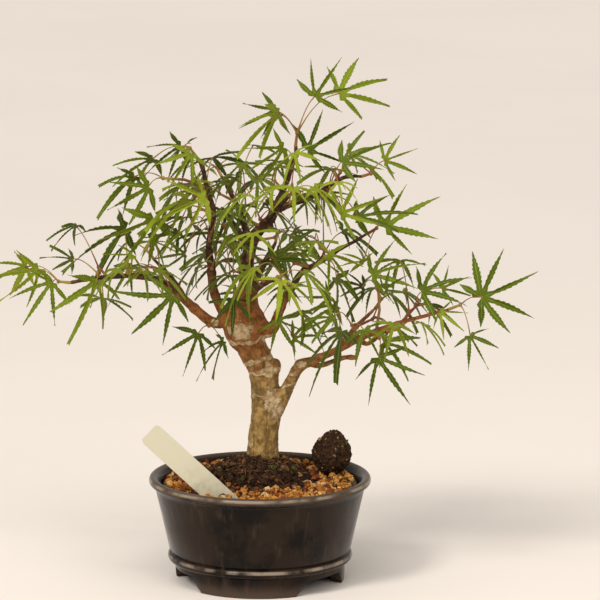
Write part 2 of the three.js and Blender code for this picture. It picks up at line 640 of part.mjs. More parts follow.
// The mound: a dome with a soft, uneven outline.
function moundGeometry(extra = 0) {
  const steps = 4;
  const profile = [[0, -0.5 - extra]];
  profile.push([moundRadius + extra, -0.5 - extra]);
  for (let i = 0; i <= steps; i += 1) {
    const share = i / steps;
    const radius = (moundRadius + extra) * Math.cos(share * Math.PI / 2);
    profile.push([radius, 1 + extra + moundHeight * share ** 0.8]);
  }
  const dome = turned(profile.map(([r, z]) => [Math.max(r, 0), z]), 16);
  const position = dome.attributes.position;
  for (let i = 0; i < position.count; i += 1) {
    const turn = Math.atan2(position.getY(i), position.getX(i));
    const wave = 1 + 0.05 * Math.sin(3 * turn + 1) + 0.035 * Math.sin(5 * turn);
    position.setX(i, position.getX(i) * wave);
    position.setY(i, position.getY(i) * wave);
  }
  return dome.translate(moundCentre[0], moundCentre[1], soilZ + gap + 0.5);
}

function ballGeometry(extra = 0) {
  const reach = insideRadius(soilZ) - ballWidth / 2 + ballTuck;
  const turn = rad(ballTurn);
  const centre = [reach * Math.cos(turn), reach * Math.sin(turn), soilZ + gritDepth + ballHeight / 2 - ballSink];
  const ball = new THREE.IcosahedronGeometry(1, 2);
  const position = ball.attributes.position;
  for (let i = 0; i < position.count; i += 1) {
    const z = position.getZ(i);
    const point = z > 0.6 ? 1 + (z - 0.6) * 0.18 : 1;
    position.setZ(i, z * point / 1.07);
  }
  const half = ballWidth / 2 + extra;
  return ball.scale(half, half, ballHeight / 2 + extra).translate(...centre);
}

function gritLayer(sunk) {
  const low = soilZ + gap;
  const high = low + gritDepth;
  const disc = solid(turned([
    [0, low], [insideRadius(low) - gap, low], [insideRadius(high) - gap, high - 0.6],
    [insideRadius(high) - 4, high], [0, high]], 24));
  return largestBody(sunk.reduce((left, piece) => left.subtract(piece), disc));
}

function soilBlock(sunk) {
  const low = floorZ + gap;
  const block = solid(turned([
    [0, low], [insideRadius(low) - gap, low], [insideRadius(soilZ) - gap, soilZ], [0, soilZ]], 24));
  return largestBody(sunk.reduce((left, piece) => left.subtract(piece), block));
}

// The mesh and clip are pressed into the soil's underside: their pocket is one plain block.
function meshPocket() {
  const side = gridHoles * gridPitch + gridBar + fitGap * 2;
  const height = gridThickness + clipWire + gap * 4;
  return solid(new THREE.BoxGeometry(side, side, height * 2).translate(0, 0, floorZ));
}

// ---------------------------------------------------------------- materials

const material = (color, roughness, metalness = 0) => (
  new THREE.MeshStandardMaterial({ color, roughness, metalness }));

const finishes = {
  glaze: material('#38291f', 0.22),
  mesh: material('#20242a', 0.6),
  wire: material('#a9a49a', 0.4, 0.9),
  soil: material('#4a3524', 0.95),
  compost: material('#3b2b1d', 0.95),
  grit: material('#a9743a', 0.95),
  fertiliser: material('#3a2a1d', 0.9),
  label: material('#d9d0b3', 0.5),
  bark: material('#6f4d2c', 0.8),
};
const leafGreens = ['#88993a', '#76892f', '#a0a550', '#65782a'];

// ---------------------------------------------------------------- assembly

const bonsai = new THREE.Group();

function place(name, geometry, finish) {
  const mesh = new THREE.Mesh(geometry, finish);
  mesh.name = name;
  bonsai.add(mesh);
}

const wood = woodSolid();
const woodRoom = woodSolid(fitGap);
const labelRoom = solid(labelGeometry(fitGap));
const moundRoom = solid(moundGeometry(fitGap));
const ballRoom = solid(ballGeometry(fitGap));

place('pot', geometryOf(potSolid()), finishes.glaze);
place('drainage_mesh', drainageMesh(), finishes.mesh);
place('mesh_clip', clipWireGeometry(), finishes.wire);
place('soil_block', geometryOf(soilBlock([meshPocket(), woodRoom, labelRoom])), finishes.soil);
place('grit_layer', geometryOf(gritLayer([moundRoom, ballRoom, labelRoom])), finishes.grit);
const mound = solid(moundGeometry()).subtract(woodRoom).subtract(ballRoom).subtract(labelRoom);
place('compost_mound', geometryOf(largestBody(mound)), finishes.compost);
place('fertiliser_ball', ballGeometry(), finishes.fertiliser);
place('plant_label', labelGeometry(), finishes.label);
place('trunk', geometryOf(wood), finishes.bark);
sprayGeometries(woodRoom).forEach(([name, geometry], i) => {
  place(name, geometry, material(leafGreens[i % leafGreens.length], 0.6));
});

export default bonsai;
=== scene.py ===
# %% [markdown]
# # A maple bonsai in a glazed pot
# The plant is a small cut-leaved maple, about 36 cm tall from the feet of its pot to its top leaf.
# The solid model already fixes where every piece stands. This lesson gives each piece its real surface:
# a gloss glaze, crumbly soil, bark with healed cuts, and leaves with toothed lobes.
# We start by loading the solid model, whose parts give us sizes and places.

# %% Load the solid model
import math
import random

import bmesh
import bpy
import numpy as np
from mathutils import Euler, Matrix, Vector, noise


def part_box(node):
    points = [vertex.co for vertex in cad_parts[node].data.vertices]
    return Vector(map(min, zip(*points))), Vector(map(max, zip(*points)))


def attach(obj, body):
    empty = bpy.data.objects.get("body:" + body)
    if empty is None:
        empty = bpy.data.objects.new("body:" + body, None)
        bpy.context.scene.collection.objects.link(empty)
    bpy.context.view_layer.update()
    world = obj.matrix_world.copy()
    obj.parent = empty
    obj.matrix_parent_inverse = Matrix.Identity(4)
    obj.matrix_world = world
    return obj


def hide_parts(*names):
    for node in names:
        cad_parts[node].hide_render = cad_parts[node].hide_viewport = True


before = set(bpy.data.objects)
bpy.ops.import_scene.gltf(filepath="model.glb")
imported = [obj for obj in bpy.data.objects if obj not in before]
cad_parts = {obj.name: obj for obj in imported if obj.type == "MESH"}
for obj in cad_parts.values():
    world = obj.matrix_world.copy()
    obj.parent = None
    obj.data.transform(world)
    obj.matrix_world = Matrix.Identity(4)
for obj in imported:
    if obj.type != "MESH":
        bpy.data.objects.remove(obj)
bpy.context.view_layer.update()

MM = 0.001

# %% [markdown]
# ## Camera, light and floor
# A long lens from three metres keeps the rim of the pot a gentle ellipse. The camera looks down by
# about eleven degrees, so we see a little of the soil. Two soft suns in front light the floor evenly all
# the way back, a long narrow lamp like a window edge gives the glaze its glints, and a pale world fills
# the shadows.

# %% Camera
VIEW_WIDTH = 0.402
CAMERA_DISTANCE = 3.0
CAMERA_TILT = math.radians(10.8)
look_at = Vector((0.027, 0.0, 0.192))  # a little right of the pot, halfway up the plant

camera_data = bpy.data.cameras.new("camera")
camera_data.lens = camera_data.sensor_width * CAMERA_DISTANCE / VIEW_WIDTH
camera = bpy.data.objects.new("camera", camera_data)
camera.location = look_at + CAMERA_DISTANCE * Vector((0, -math.cos(CAMERA_TILT), math.sin(CAMERA_TILT)))
camera.rotation_euler = (math.pi / 2 - CAMERA_TILT, 0, 0)
bpy.context.scene.collection.objects.link(camera)
bpy.context.scene.camera = camera
print("lens:", round(camera_data.lens, 1), "mm")


# %% Lights
def soft_light(name, kind, place, aim, power, colour, size):
    """A sun takes its softness in degrees; an area lamp takes its width and height in metres."""
    data = bpy.data.lights.new(name, kind)
    data.energy = power
    data.color = colour
    if kind == "SUN":
        data.angle = math.radians(size)
    else:
        data.shape = "RECTANGLE"
        data.size, data.size_y = size
    lamp = bpy.data.objects.new(name, data)
    lamp.location = place
    lamp.rotation_euler = (Vector(aim) - Vector(place)).to_track_quat("-Z", "Y").to_euler()
    bpy.context.scene.collection.objects.link(lamp)


WARM = (1, 0.96, 0.90)
PALE_CREAM = (1.0, 0.965, 0.92, 1)
crown_middle = (0, 0, 0.2)
pot_middle = (0, 0, 0.04)
soft_light("sun_left", "SUN", (-0.9, -1.1, 1.5), crown_middle, 1.35, WARM, 14)
soft_light("sun_right", "SUN", (1.0, -1.2, 1.2), crown_middle, 0.6, WARM, 30)
soft_light("window", "AREA", (-0.20, -0.95, 1.35), pot_middle, 8.5, WARM, (1.1, 0.09))

world = bpy.data.worlds.new("studio")
world.use_nodes = True
sky = world.node_tree.nodes["Background"].inputs
sky["Color"].default_value = PALE_CREAM
sky["Strength"].default_value = 0.54
bpy.context.scene.world = world
bpy.context.scene.view_settings.view_transform = "Standard"
print("lights:", len(bpy.data.lights))

# %% [markdown]
# ## Small helpers for materials
# Every finish is a Principled shader fed by noise. Writing each node by hand takes many lines, so we make
# a little painter that adds nodes and wires them. A wire goes from one socket to another.


# %% A painter for node trees
class Painter:
    """Adds nodes to a tree and wires them, left to right."""

    def __init__(self, tree):
        self.tree = tree

    def add(self, kind, inputs=None, **settings):
        made = self.tree.nodes.new(kind)
        for key, value in settings.items():
            setattr(made, key, value)
        for key, value in (inputs or {}).items():
            self.put(made.inputs[key], value)
        return made

    def put(self, socket, value):
        if isinstance(value, bpy.types.NodeSocket):
            self.tree.links.new(value, socket)
        else:
            socket.default_value = value

    def noise(self, vector, scale, detail=4.0, roughness=0.55):
        made = self.add("ShaderNodeTexNoise", {
            "Vector": vector, "Scale": scale, "Detail": detail, "Roughness": roughness})
        return made.outputs["Fac"]

    def maths(self, operation, first, second=0.0, clamp=False):
        made = self.add("ShaderNodeMath", {0: first, 1: second}, operation=operation, use_clamp=clamp)
        return made.outputs[0]

    def span(self, value, low, high, to_low=0.0, to_high=1.0):
        made = self.add("ShaderNodeMapRange", {
            "Value": value, "From Min": low, "From Max": high, "To Min": to_low, "To Max": to_high},
            interpolation_type="SMOOTHSTEP")
        return made.outputs["Result"]

    def blend(self, share, first, second):
        made = self.add("ShaderNodeMix", data_type="RGBA")
        self.put(made.inputs["Factor"], share)
        self.put(made.inputs["A"], first if isinstance(first, bpy.types.NodeSocket) else (*first, 1))
        self.put(made.inputs["B"], second if isinstance(second, bpy.types.NodeSocket) else (*second, 1))
        return made.outputs["Result"]

    def ramp(self, share, colours):
        """colours are (place, colour) stops from 0 to 1."""
        made = self.add("ShaderNodeValToRGB", {"Fac": share})
        stops = made.color_ramp.elements
        while len(stops) < len(colours):
            stops.new(0.5)
        for stop, (place, colour) in zip(stops, colours):
            stop.position = place
            stop.color = (*colour, 1)
        return made.outputs["Color"]

    def group(self, tree, inputs, output):
        made = self.add("ShaderNodeGroup", node_tree=tree)
        for key, value in inputs.items():
            self.put(made.inputs[key], value)
        return made.outputs[output]


def node_group(name, inputs, outputs):
    """An empty shader group with its sockets, its painter, its inputs and its output node."""
    tree = bpy.data.node_groups.new(name, "ShaderNodeTree")
    for socket_name, kind, value in inputs:
        socket = tree.interface.new_socket(name=socket_name, in_out="INPUT", socket_type="NodeSocket" + kind)
        if value is not None:
            socket.default_value = value
    for socket_name, kind in outputs:
        tree.interface.new_socket(name=socket_name, in_out="OUTPUT", socket_type="NodeSocket" + kind)
    painter = Painter(tree)
    given = painter.add("NodeGroupInput").outputs
    result = painter.add("NodeGroupOutput").inputs
    return tree, painter, given, result


def new_material(name, roughness=0.5, shine=0.5):
    """shine is the strength of the mirror-like part: low for soil, bark and paper."""
    material = bpy.data.materials.new(name)
    material.use_nodes = True
    painter = Painter(material.node_tree)
    shader = material.node_tree.nodes["Principled BSDF"]
    shader.inputs["Roughness"].default_value = roughness
    shader.inputs["Specular IOR Level"].default_value = shine
    coordinates = painter.add("ShaderNodeTexCoord").outputs["Object"]
    return material, painter, shader, coordinates


def add_bump(painter, shader, height, distance, strength=1.0):
    bump = painter.add("ShaderNodeBump", {"Height": height, "Distance": distance, "Strength": strength})
    painter.put(shader.inputs["Normal"], bump.outputs["Normal"])


print("helpers ready")

# %% [markdown]
# ## Four shared effects
# Nature is blotchy: glaze pools, soil dries in patches and bark stains. One group makes soft blotches.
# A second makes a crumbly height for anything granular. A third makes a ragged spot round a given
# point, for healed cuts on the bark. The last makes a wavy pale ring round the trunk, the mark that a
# training wire or an old row of buds leaves.

# %% Shared groups
blotches, painter, given, result = node_group(
    "blotches", [("Vector", "Vector", None), ("Scale", "Float", 30.0), ("Low", "Float", 0.4),
                 ("High", "Float", 0.6)], [("Mask", "Float")])
soft = painter.noise(given["Vector"], given["Scale"])
painter.put(result["Mask"], painter.span(soft, given["Low"], given["High"]))

crumble, painter, given, result = node_group(
    "crumble", [("Vector", "Vector", None), ("Scale", "Float", 300.0)], [("Height", "Float")])
lumps = painter.add("ShaderNodeTexVoronoi", {"Vector": given["Vector"], "Scale": given["Scale"]})
fine = painter.noise(given["Vector"], given["Scale"], 6.0, 0.7)
painter.put(result["Height"], painter.maths("SUBTRACT", fine, lumps.outputs["Distance"]))

ragged_spot, painter, given, result = node_group(
    "ragged_spot", [("Vector", "Vector", None), ("Centre", "Vector", None), ("Stretch", "Vector", None)],
    [("Mask", "Float")])
offset = painter.add("ShaderNodeVectorMath", {0: given["Vector"], 1: given["Centre"]}, operation="SUBTRACT")
drawn_in = painter.add("ShaderNodeVectorMath", {0: offset.outputs[0], 1: given["Stretch"]},
                       operation="MULTIPLY")
reach = painter.add("ShaderNodeVectorMath", {0: drawn_in.outputs[0]}, operation="LENGTH")
edge = painter.noise(given["Vector"], 280.0, 4.0, 0.6)
ragged = painter.maths("ADD", reach.outputs["Value"], painter.maths("MULTIPLY", edge, 1.7))
painter.put(result["Mask"], painter.span(ragged, 1.60, 1.85, 1.0, 0.0))

healed_ring, painter, given, result = node_group(
    "healed_ring", [("Vector", "Vector", None), ("Centre", "Vector", None), ("Tilt", "Vector", None),
                    ("Width", "Float", 0.002)], [("Mask", "Float")])
offset = painter.add("ShaderNodeVectorMath", {0: given["Vector"], 1: given["Centre"]}, operation="SUBTRACT")
along = painter.add("ShaderNodeVectorMath", {0: offset.outputs[0], 1: given["Tilt"]}, operation="DOT_PRODUCT")
unrest = painter.maths("SUBTRACT", painter.noise(given["Vector"], 110.0, 2.0, 0.5), 0.5)
wave = painter.maths("MULTIPLY", unrest, 12 * MM)
away = painter.maths("ABSOLUTE", painter.maths("ADD", along.outputs["Value"], wave))
band = painter.span(painter.maths("DIVIDE", away, given["Width"]), 0.8, 1.0, 1.0, 0.0)
far = painter.add("ShaderNodeVectorMath", {0: offset.outputs[0]}, operation="LENGTH").outputs["Value"]
painter.put(result["Mask"], painter.maths("MULTIPLY", band, painter.span(far, 20 * MM, 28 * MM, 1.0, 0.0)))
print("groups:", [group.name for group in bpy.data.node_groups])

# %% [markdown]
# ## Finishes
# The glaze is thick and almost black on the wall, and it runs thin over the rim and the feet, where the
# brown clay shows through; on the feet that brown is made lighter, in part as painted highlight. Over the
# bead and the shoulder of the rim, pale patches are painted highlight, standing in for glints. These
# colours could be painted by hand, but we place them by height and radius, so they hold all round.
# Soil, grit and compost are all rough; what tells them apart is the size and colour of their grains.
# Colours that change from grain to grain or leaf to leaf come from an attribute named tone, which we
# store in the mesh as we build it. In leaves the tone also carries painted light and shade: lighter at
# the top and front of the crown, darker inside it.


# %% Glaze
def glaze_material(pot_top, rim_radius, bead_crown):
    """Nearly black on the wall, thin and brown on rim and foot, the foot lighter in part as painted
    highlight, with painted highlight in pale patches over the two ridges.
    """
    material, painter, shader, at = new_material("brown_glaze", 0.2)
    parts = painter.add("ShaderNodeSeparateXYZ", {"Vector": at}).outputs
    height = parts["Z"]
    flat = painter.add("ShaderNodeCombineXYZ", {"X": parts["X"], "Y": parts["Y"]}).outputs["Vector"]
    radius = painter.add("ShaderNodeVectorMath", {0: flat}, operation="LENGTH").outputs["Value"]
    body = painter.blend(painter.group(blotches, {"Vector": at, "Scale": 34.0}, "Mask"),
                         (0.0060, 0.0041, 0.0031), (0.022, 0.0130, 0.0082))
    drips = painter.add("ShaderNodeMapping", {"Vector": at, "Scale": (1.0, 1.0, 0.18)}).outputs["Vector"]
    running = painter.group(blotches, {"Vector": drips, "Scale": 150.0, "Low": 0.52, "High": 0.75}, "Mask")
    body = painter.blend(running, body, (0.042, 0.026, 0.017))
    wander = painter.maths("MULTIPLY", painter.noise(at, 90.0), 4 * MM)
    level = painter.maths("ADD", height, wander)
    edge = painter.span(level, pot_top - 3.2 * MM, pot_top - 0.2 * MM)
    edge = painter.maths("MULTIPLY", edge, painter.span(radius, rim_radius - 7 * MM, rim_radius - 5 * MM))
    # Painted highlight in part: the feet show thin brown glaze, and that brown is made lighter to stand in
    # for their glints.
    foot = painter.span(level, 3 * MM, 13 * MM, 1.0, 0.0)
    speckle = painter.group(blotches, {"Vector": at, "Scale": 1500.0, "Low": 0.5, "High": 0.7}, "Mask")
    thin = painter.blend(speckle, (0.082, 0.055, 0.036), (0.040, 0.026, 0.017))
    colour = painter.blend(edge, painter.blend(foot, body, (0.072, 0.047, 0.034)), thin)
    # Painted highlight: pale patches on the crown of the bead and the outer shoulder of the rim stand in for
    # glints on the glaze.
    from_bead = painter.maths("ABSOLUTE", painter.maths("SUBTRACT", height, bead_crown))
    from_shoulder = painter.maths("ABSOLUTE", painter.maths("SUBTRACT", height, pot_top - 1.7 * MM))
    outside = painter.span(radius, rim_radius - 1.6 * MM, rim_radius - 0.6 * MM)
    bead_highlight = painter.span(from_bead, 0.5 * MM, 1.5 * MM, 1.0, 0.0)
    rim_highlight = painter.maths("MULTIPLY", outside, painter.span(from_shoulder, 0.4 * MM, 1.4 * MM, 1.0, 0.0))
    ridge_highlight = painter.maths("ADD", bead_highlight, rim_highlight)
    patchy_highlight = painter.group(blotches, {"Vector": at, "Scale": 55.0, "Low": 0.34, "High": 0.60}, "Mask")
    colour = painter.blend(painter.maths("MULTIPLY", ridge_highlight, patchy_highlight), colour, (0.26, 0.205, 0.155))
    painter.put(shader.inputs["Base Color"], colour)
    gloss = painter.span(painter.noise(at, 60.0, 5.0), 0.3, 0.7, 0.10, 0.24)
    painter.put(shader.inputs["Roughness"], gloss)
    shader.inputs["IOR"].default_value = 1.22
    ripple = painter.maths("ADD", painter.noise(at, 45.0, 3.0),
                           painter.maths("MULTIPLY", painter.noise(at, 900.0), 0.12))
    add_bump(painter, shader, ripple, 0.5 * MM, 0.6)
    return material


print("glaze recipe ready")


# %% Grains, crumbs and cake: colour by grain
def grain_material(name, colours, scale, depth, roughness=0.9):
    """colours are (place, colour) stops that the tone attribute picks from."""
    material, painter, shader, at = new_material(name, roughness, 0.15)
    tone = painter.add("ShaderNodeAttribute", attribute_name="tone").outputs["Fac"]
    own_colour = painter.ramp(tone, colours)
    rough = painter.group(crumble, {"Vector": at, "Scale": scale}, "Height")
    # Painted shade: the low gaps of the crumbly height are darkened, as the shade between grains.
    crevice_shade = painter.span(rough, -0.35, 0.45, 0.5, 1.15)
    dark = painter.add("ShaderNodeVectorMath", {0: own_colour, "Scale": crevice_shade}, operation="SCALE")
    painter.put(shader.inputs["Base Color"], dark.outputs[0])
    add_bump(painter, shader, rough, depth)
    return material


clay_grains = grain_material("clay_grains", [
    (0.0, (0.05, 0.014, 0.007)), (0.2, (0.20, 0.045, 0.018)), (0.42, (0.40, 0.13, 0.025)),
    (0.62, (0.60, 0.26, 0.045)), (0.82, (0.72, 0.40, 0.12)), (1.0, (0.76, 0.53, 0.25))], 700.0, 0.4 * MM)
compost_crumbs = grain_material("compost_crumbs", [
    (0.0, (0.016, 0.007, 0.0035)), (0.5, (0.060, 0.027, 0.012)), (0.75, (0.13, 0.058, 0.024)),
    (0.93, (0.34, 0.17, 0.07)), (1.0, (0.06, 0.08, 0.012))], 700.0, 0.7 * MM)
pressed_cake = grain_material("pressed_cake", [
    (0.0, (0.018, 0.009, 0.005)), (0.45, (0.060, 0.029, 0.014)), (0.8, (0.115, 0.058, 0.026)),
    (1.0, (0.36, 0.22, 0.10))], 600.0, 0.8 * MM)
moss_green = grain_material("moss_green", [
    (0.0, (0.035, 0.05, 0.008)), (0.6, (0.10, 0.13, 0.02)), (1.0, (0.24, 0.22, 0.06))], 1200.0, 0.2 * MM)
print("grain finishes:", [material.name for material in bpy.data.materials])


# %% Label, mesh, wire and soil
def label_material(soil_top):
    material, painter, shader, at = new_material("pale_label", 0.45, 0.3)
    height = painter.add("ShaderNodeSeparateXYZ", {"Vector": at}).outputs["Z"]
    grime = painter.group(blotches, {"Vector": at, "Scale": 160.0, "Low": 0.35, "High": 0.75}, "Mask")
    splash = painter.span(height, soil_top, soil_top + 30 * MM, 1.0, 0.0)
    dirt = painter.maths("MULTIPLY", grime, painter.maths("MULTIPLY", splash, 0.5), True)
    painter.put(shader.inputs["Base Color"], painter.blend(dirt, (0.57, 0.535, 0.40), (0.30, 0.22, 0.12)))
    add_bump(painter, shader, painter.noise(at, 500.0), 0.06 * MM)
    return material


def plain_material(name, light, dark, scale, roughness, metallic=0.0, depth=0.05):
    material, painter, shader, at = new_material(name, roughness, 0.2)
    mask = painter.group(blotches, {"Vector": at, "Scale": scale}, "Mask")
    painter.put(shader.inputs["Base Color"], painter.blend(mask, dark, light))
    shader.inputs["Metallic"].default_value = metallic
    rough = painter.group(crumble, {"Vector": at, "Scale": scale * 6}, "Height")
    add_bump(painter, shader, rough, depth * MM)
    return material


mesh_plastic = plain_material("mesh_plastic", (0.03, 0.035, 0.04), (0.015, 0.018, 0.02), 120.0, 0.5)
clip_metal = plain_material("clip_metal", (0.55, 0.53, 0.5), (0.3, 0.28, 0.25), 200.0, 0.38, 1.0)
packed_soil = plain_material("packed_soil", (0.12, 0.07, 0.035), (0.035, 0.02, 0.011), 110.0, 0.95, 0.0, 0.8)
print("finishes so far:", len(bpy.data.materials))


# %% Bark
def bark_material(soil_top, spots, rings):
    """Olive-tan at the foot, redder up the trunk and on twigs, with pale healed cuts and rings."""
    material, painter, shader, at = new_material("maple_bark", 0.78, 0.15)
    height = painter.add("ShaderNodeSeparateXYZ", {"Vector": at}).outputs["Z"]
    level = painter.add("ShaderNodeMapping", {"Vector": at, "Scale": (0.55, 0.55, 2.2)}).outputs["Vector"]
    upright = painter.add("ShaderNodeMapping", {"Vector": at, "Scale": (2.6, 2.6, 0.35)}).outputs["Vector"]
    mottle = painter.group(blotches, {"Vector": at, "Scale": 210.0, "Low": 0.36, "High": 0.66}, "Mask")
    young = painter.blend(mottle, (0.034, 0.016, 0.010), (0.105, 0.043, 0.020))
    middle = painter.blend(mottle, (0.195, 0.068, 0.019), (0.390, 0.145, 0.042))
    old = painter.blend(mottle, (0.205, 0.122, 0.036), (0.45, 0.285, 0.098))
    wander = painter.maths("MULTIPLY", painter.noise(at, 40.0), 30 * MM)
    blurred = painter.maths("ADD", height, wander)
    rise = painter.span(blurred, soil_top + 75 * MM, soil_top + 120 * MM)
    top = painter.span(blurred, soil_top + 130 * MM, soil_top + 160 * MM)
    colour = painter.blend(top, painter.blend(rise, old, middle), young)
    dark = painter.group(blotches, {"Vector": upright, "Scale": 240.0, "Low": 0.5, "High": 0.66}, "Mask")
    colour = painter.blend(painter.maths("MULTIPLY", dark, 0.45), colour, (0.040, 0.020, 0.009))
    flecks = painter.group(blotches, {"Vector": level, "Scale": 520.0, "Low": 0.62, "High": 0.72}, "Mask")
    colour = painter.blend(painter.maths("MULTIPLY", flecks, 0.6), colour, (0.40, 0.29, 0.14))
    cracks = painter.group(blotches, {"Vector": at, "Scale": 430.0, "Low": 0.32, "High": 0.64}, "Mask")
    healed = painter.blend(cracks, (0.33, 0.20, 0.088), (0.62, 0.48, 0.28))
    pale = 0.0
    for centre, stretch in spots:
        spot = painter.group(ragged_spot, {"Vector": at, "Centre": centre, "Stretch": stretch}, "Mask")
        pale = painter.maths("MAXIMUM", pale, spot)
    for centre, tilt, width in rings:
        ring = painter.group(
            healed_ring, {"Vector": at, "Centre": centre, "Tilt": tilt, "Width": width}, "Mask")
        pale = painter.maths("MAXIMUM", pale, ring)
    painter.put(shader.inputs["Base Color"], painter.blend(pale, colour, healed))
    ridges = painter.maths("ADD", painter.noise(upright, 260.0, 6.0, 0.65),
                           painter.maths("MULTIPLY", painter.noise(level, 380.0, 4.0), 0.6))
    lumpy = painter.maths("ADD", painter.maths("MULTIPLY", cracks, 0.5), 0.6)
    swollen = painter.maths("ADD", ridges, painter.maths("MULTIPLY", pale, lumpy))
    add_bump(painter, shader, swollen, 0.6 * MM)
    return material


print("bark recipe ready")


# %% Leaves and young stems
def leaf_material():
    material, painter, shader, _ = new_material("maple_leaf", 0.5, 0.14)
    tone = painter.add("ShaderNodeAttribute", attribute_name="tone").outputs["Fac"]
    # The ramp runs from the dark green of painted shade inside the crown to the pale green of leaves painted
    # as lit.
    green = painter.ramp(tone, [
        (0.0, (0.018, 0.042, 0.002)), (0.3, (0.062, 0.100, 0.003)), (0.6, (0.158, 0.212, 0.006)),
        (0.85, (0.29, 0.34, 0.018)), (1.0, (0.44, 0.46, 0.055))])
    uv = painter.add("ShaderNodeUVMap", uv_map="lobe").outputs["UV"]
    split = painter.add("ShaderNodeSeparateXYZ", {"Vector": uv}).outputs
    across = painter.maths("ABSOLUTE", painter.maths("SUBTRACT", split["X"], 0.5))
    midrib = painter.span(across, 0.015, 0.07, 1.0, 0.0)
    slant = painter.maths("ADD", painter.maths("MULTIPLY", split["Y"], 11.0),
                          painter.maths("MULTIPLY", across, -9.0))
    side_veins = painter.span(painter.maths("PINGPONG", slant, 0.5), 0.0, 0.12, 1.0, 0.0)
    veins = painter.maths("MAXIMUM", midrib, painter.maths("MULTIPLY", side_veins, 0.45))
    margin = painter.maths("MULTIPLY", painter.span(across, 0.36, 0.5), painter.noise(uv, 9.0))
    colour = painter.blend(painter.maths("MULTIPLY", veins, 0.55), green, (0.40, 0.43, 0.08))
    colour = painter.blend(painter.maths("MULTIPLY", margin, 0.5), colour, (0.30, 0.17, 0.04))
    painter.put(shader.inputs["Base Color"], colour)
    shader.inputs["Subsurface Weight"].default_value = 0.35
    shader.inputs["Subsurface Radius"].default_value = (0.35, 0.6, 0.08)
    shader.inputs["Subsurface Scale"].default_value = 1.2 * MM
    add_bump(painter, shader, painter.maths("MULTIPLY", veins, -1.0), 0.12 * MM)
    return material


def stem_material():
    material, painter, shader, at = new_material("red_stems", 0.5, 0.25)
    mask = painter.group(blotches, {"Vector": at, "Scale": 45.0, "Low": 0.3, "High": 0.7}, "Mask")
    painter.put(shader.inputs["Base Color"], painter.blend(mask, (0.19, 0.035, 0.018), (0.33, 0.22, 0.045)))
    add_bump(painter, shader, painter.noise(at, 900.0), 0.08 * MM)
    return material


leaf_green = leaf_material()
young_stem = stem_material()
print("finishes:", len(bpy.data.materials))

# %% [markdown]
# ## Making pieces
# Each piece is built in a bmesh and then turned into an object that sits at the origin, with its place
# in its mesh. It rides on the one rigid body, and the solid that it stands for is hidden.


# %% Helpers for pieces
def piece_from(name, bm, materials, stands_for=(), smooth_angle=40):
    bmesh.ops.recalc_face_normals(bm, faces=bm.faces[:])
    mesh = bpy.data.meshes.new(name)
    bm.to_mesh(mesh)
    bm.free()
    for material in materials:
        mesh.materials.append(material)
    mesh.shade_smooth()
    mesh.set_sharp_from_angle(angle=math.radians(smooth_angle))
    piece = bpy.data.objects.new(name, mesh)
    bpy.context.scene.collection.objects.link(piece)
    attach(piece, "root")
    if stands_for:
        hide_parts(*stands_for)
    print(name, len(mesh.polygons), "faces")
    return piece


def apply_modifiers(piece):
    """The mesh as the modifiers leave it becomes the piece's own mesh."""
    depsgraph = bpy.context.evaluated_depsgraph_get()
    shaped = bpy.data.meshes.new_from_object(piece.evaluated_get(depsgraph))
    piece.modifiers.clear()
    piece.data = shaped


def repaint(node, material):
    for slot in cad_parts[node].material_slots:
        slot.material = material


def arc(centre, radius, start, stop, steps):
    """Points on an arc in the (radius, height) plane, angles in degrees."""
    angles = [math.radians(start + (stop - start) * i / steps) for i in range(steps + 1)]
    return [(centre[0] + radius * math.cos(a), centre[1] + radius * math.sin(a)) for a in angles]


def spin_profile(bm, profile, steps):
    """A turned shape from (radius, height) points in metres: a chain of edges swept once round Z."""
    verts = [bm.verts.new((radius, 0, height)) for radius, height in profile]
    edges = [bm.edges.new(pair) for pair in zip(verts, verts[1:])]
    bmesh.ops.spin(bm, geom=verts + edges, cent=(0, 0, 0), axis=(0, 0, 1), angle=2 * math.pi,
                   steps=steps, use_merge=True)
    bmesh.ops.remove_doubles(bm, verts=bm.verts[:], dist=1e-6)


# %% [markdown]
# ## The pot
# The pot is one fired piece: a tapering wall with a rolled rim, a bead low down, and a foot ring cut
# into three bracket feet. On a wheel the section is turned and the arches are cut afterwards, so we do
# the same: spin the section, then cut the arches with three blocks that have S-curved ends.

# %% Sizes of the pot, from its solid
pot_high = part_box("pot")[1]
POT_TOP = pot_high[2]
RIM = pot_high[0]
FOOT_COUNT = 3
FOOT_SHARE = 360 / FOOT_COUNT
FOOT_TALL = 14 * MM
ARCH_TALL = 10 * MM
ARCH_START = 1.5 * MM
ARCH_SWING = 8 * MM
WALL_TOP = RIM - 4 * MM
WALL_FOOT = WALL_TOP - 10 * MM
FOOT_RADIUS = WALL_FOOT - 4 * MM
FOOT_RING = 9 * MM
FOOT_TURN = -99  # degrees round Z
FOOT_SPAN = 70
SOIL_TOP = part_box("soil_block")[1][2]
FLOOR_TOP = FOOT_TALL + 7 * MM
WALL = 5.5 * MM
DRAIN = 7.4 * MM
print("rim radius", round(RIM * 1000, 1), "soil top", round(SOIL_TOP * 1000, 1))

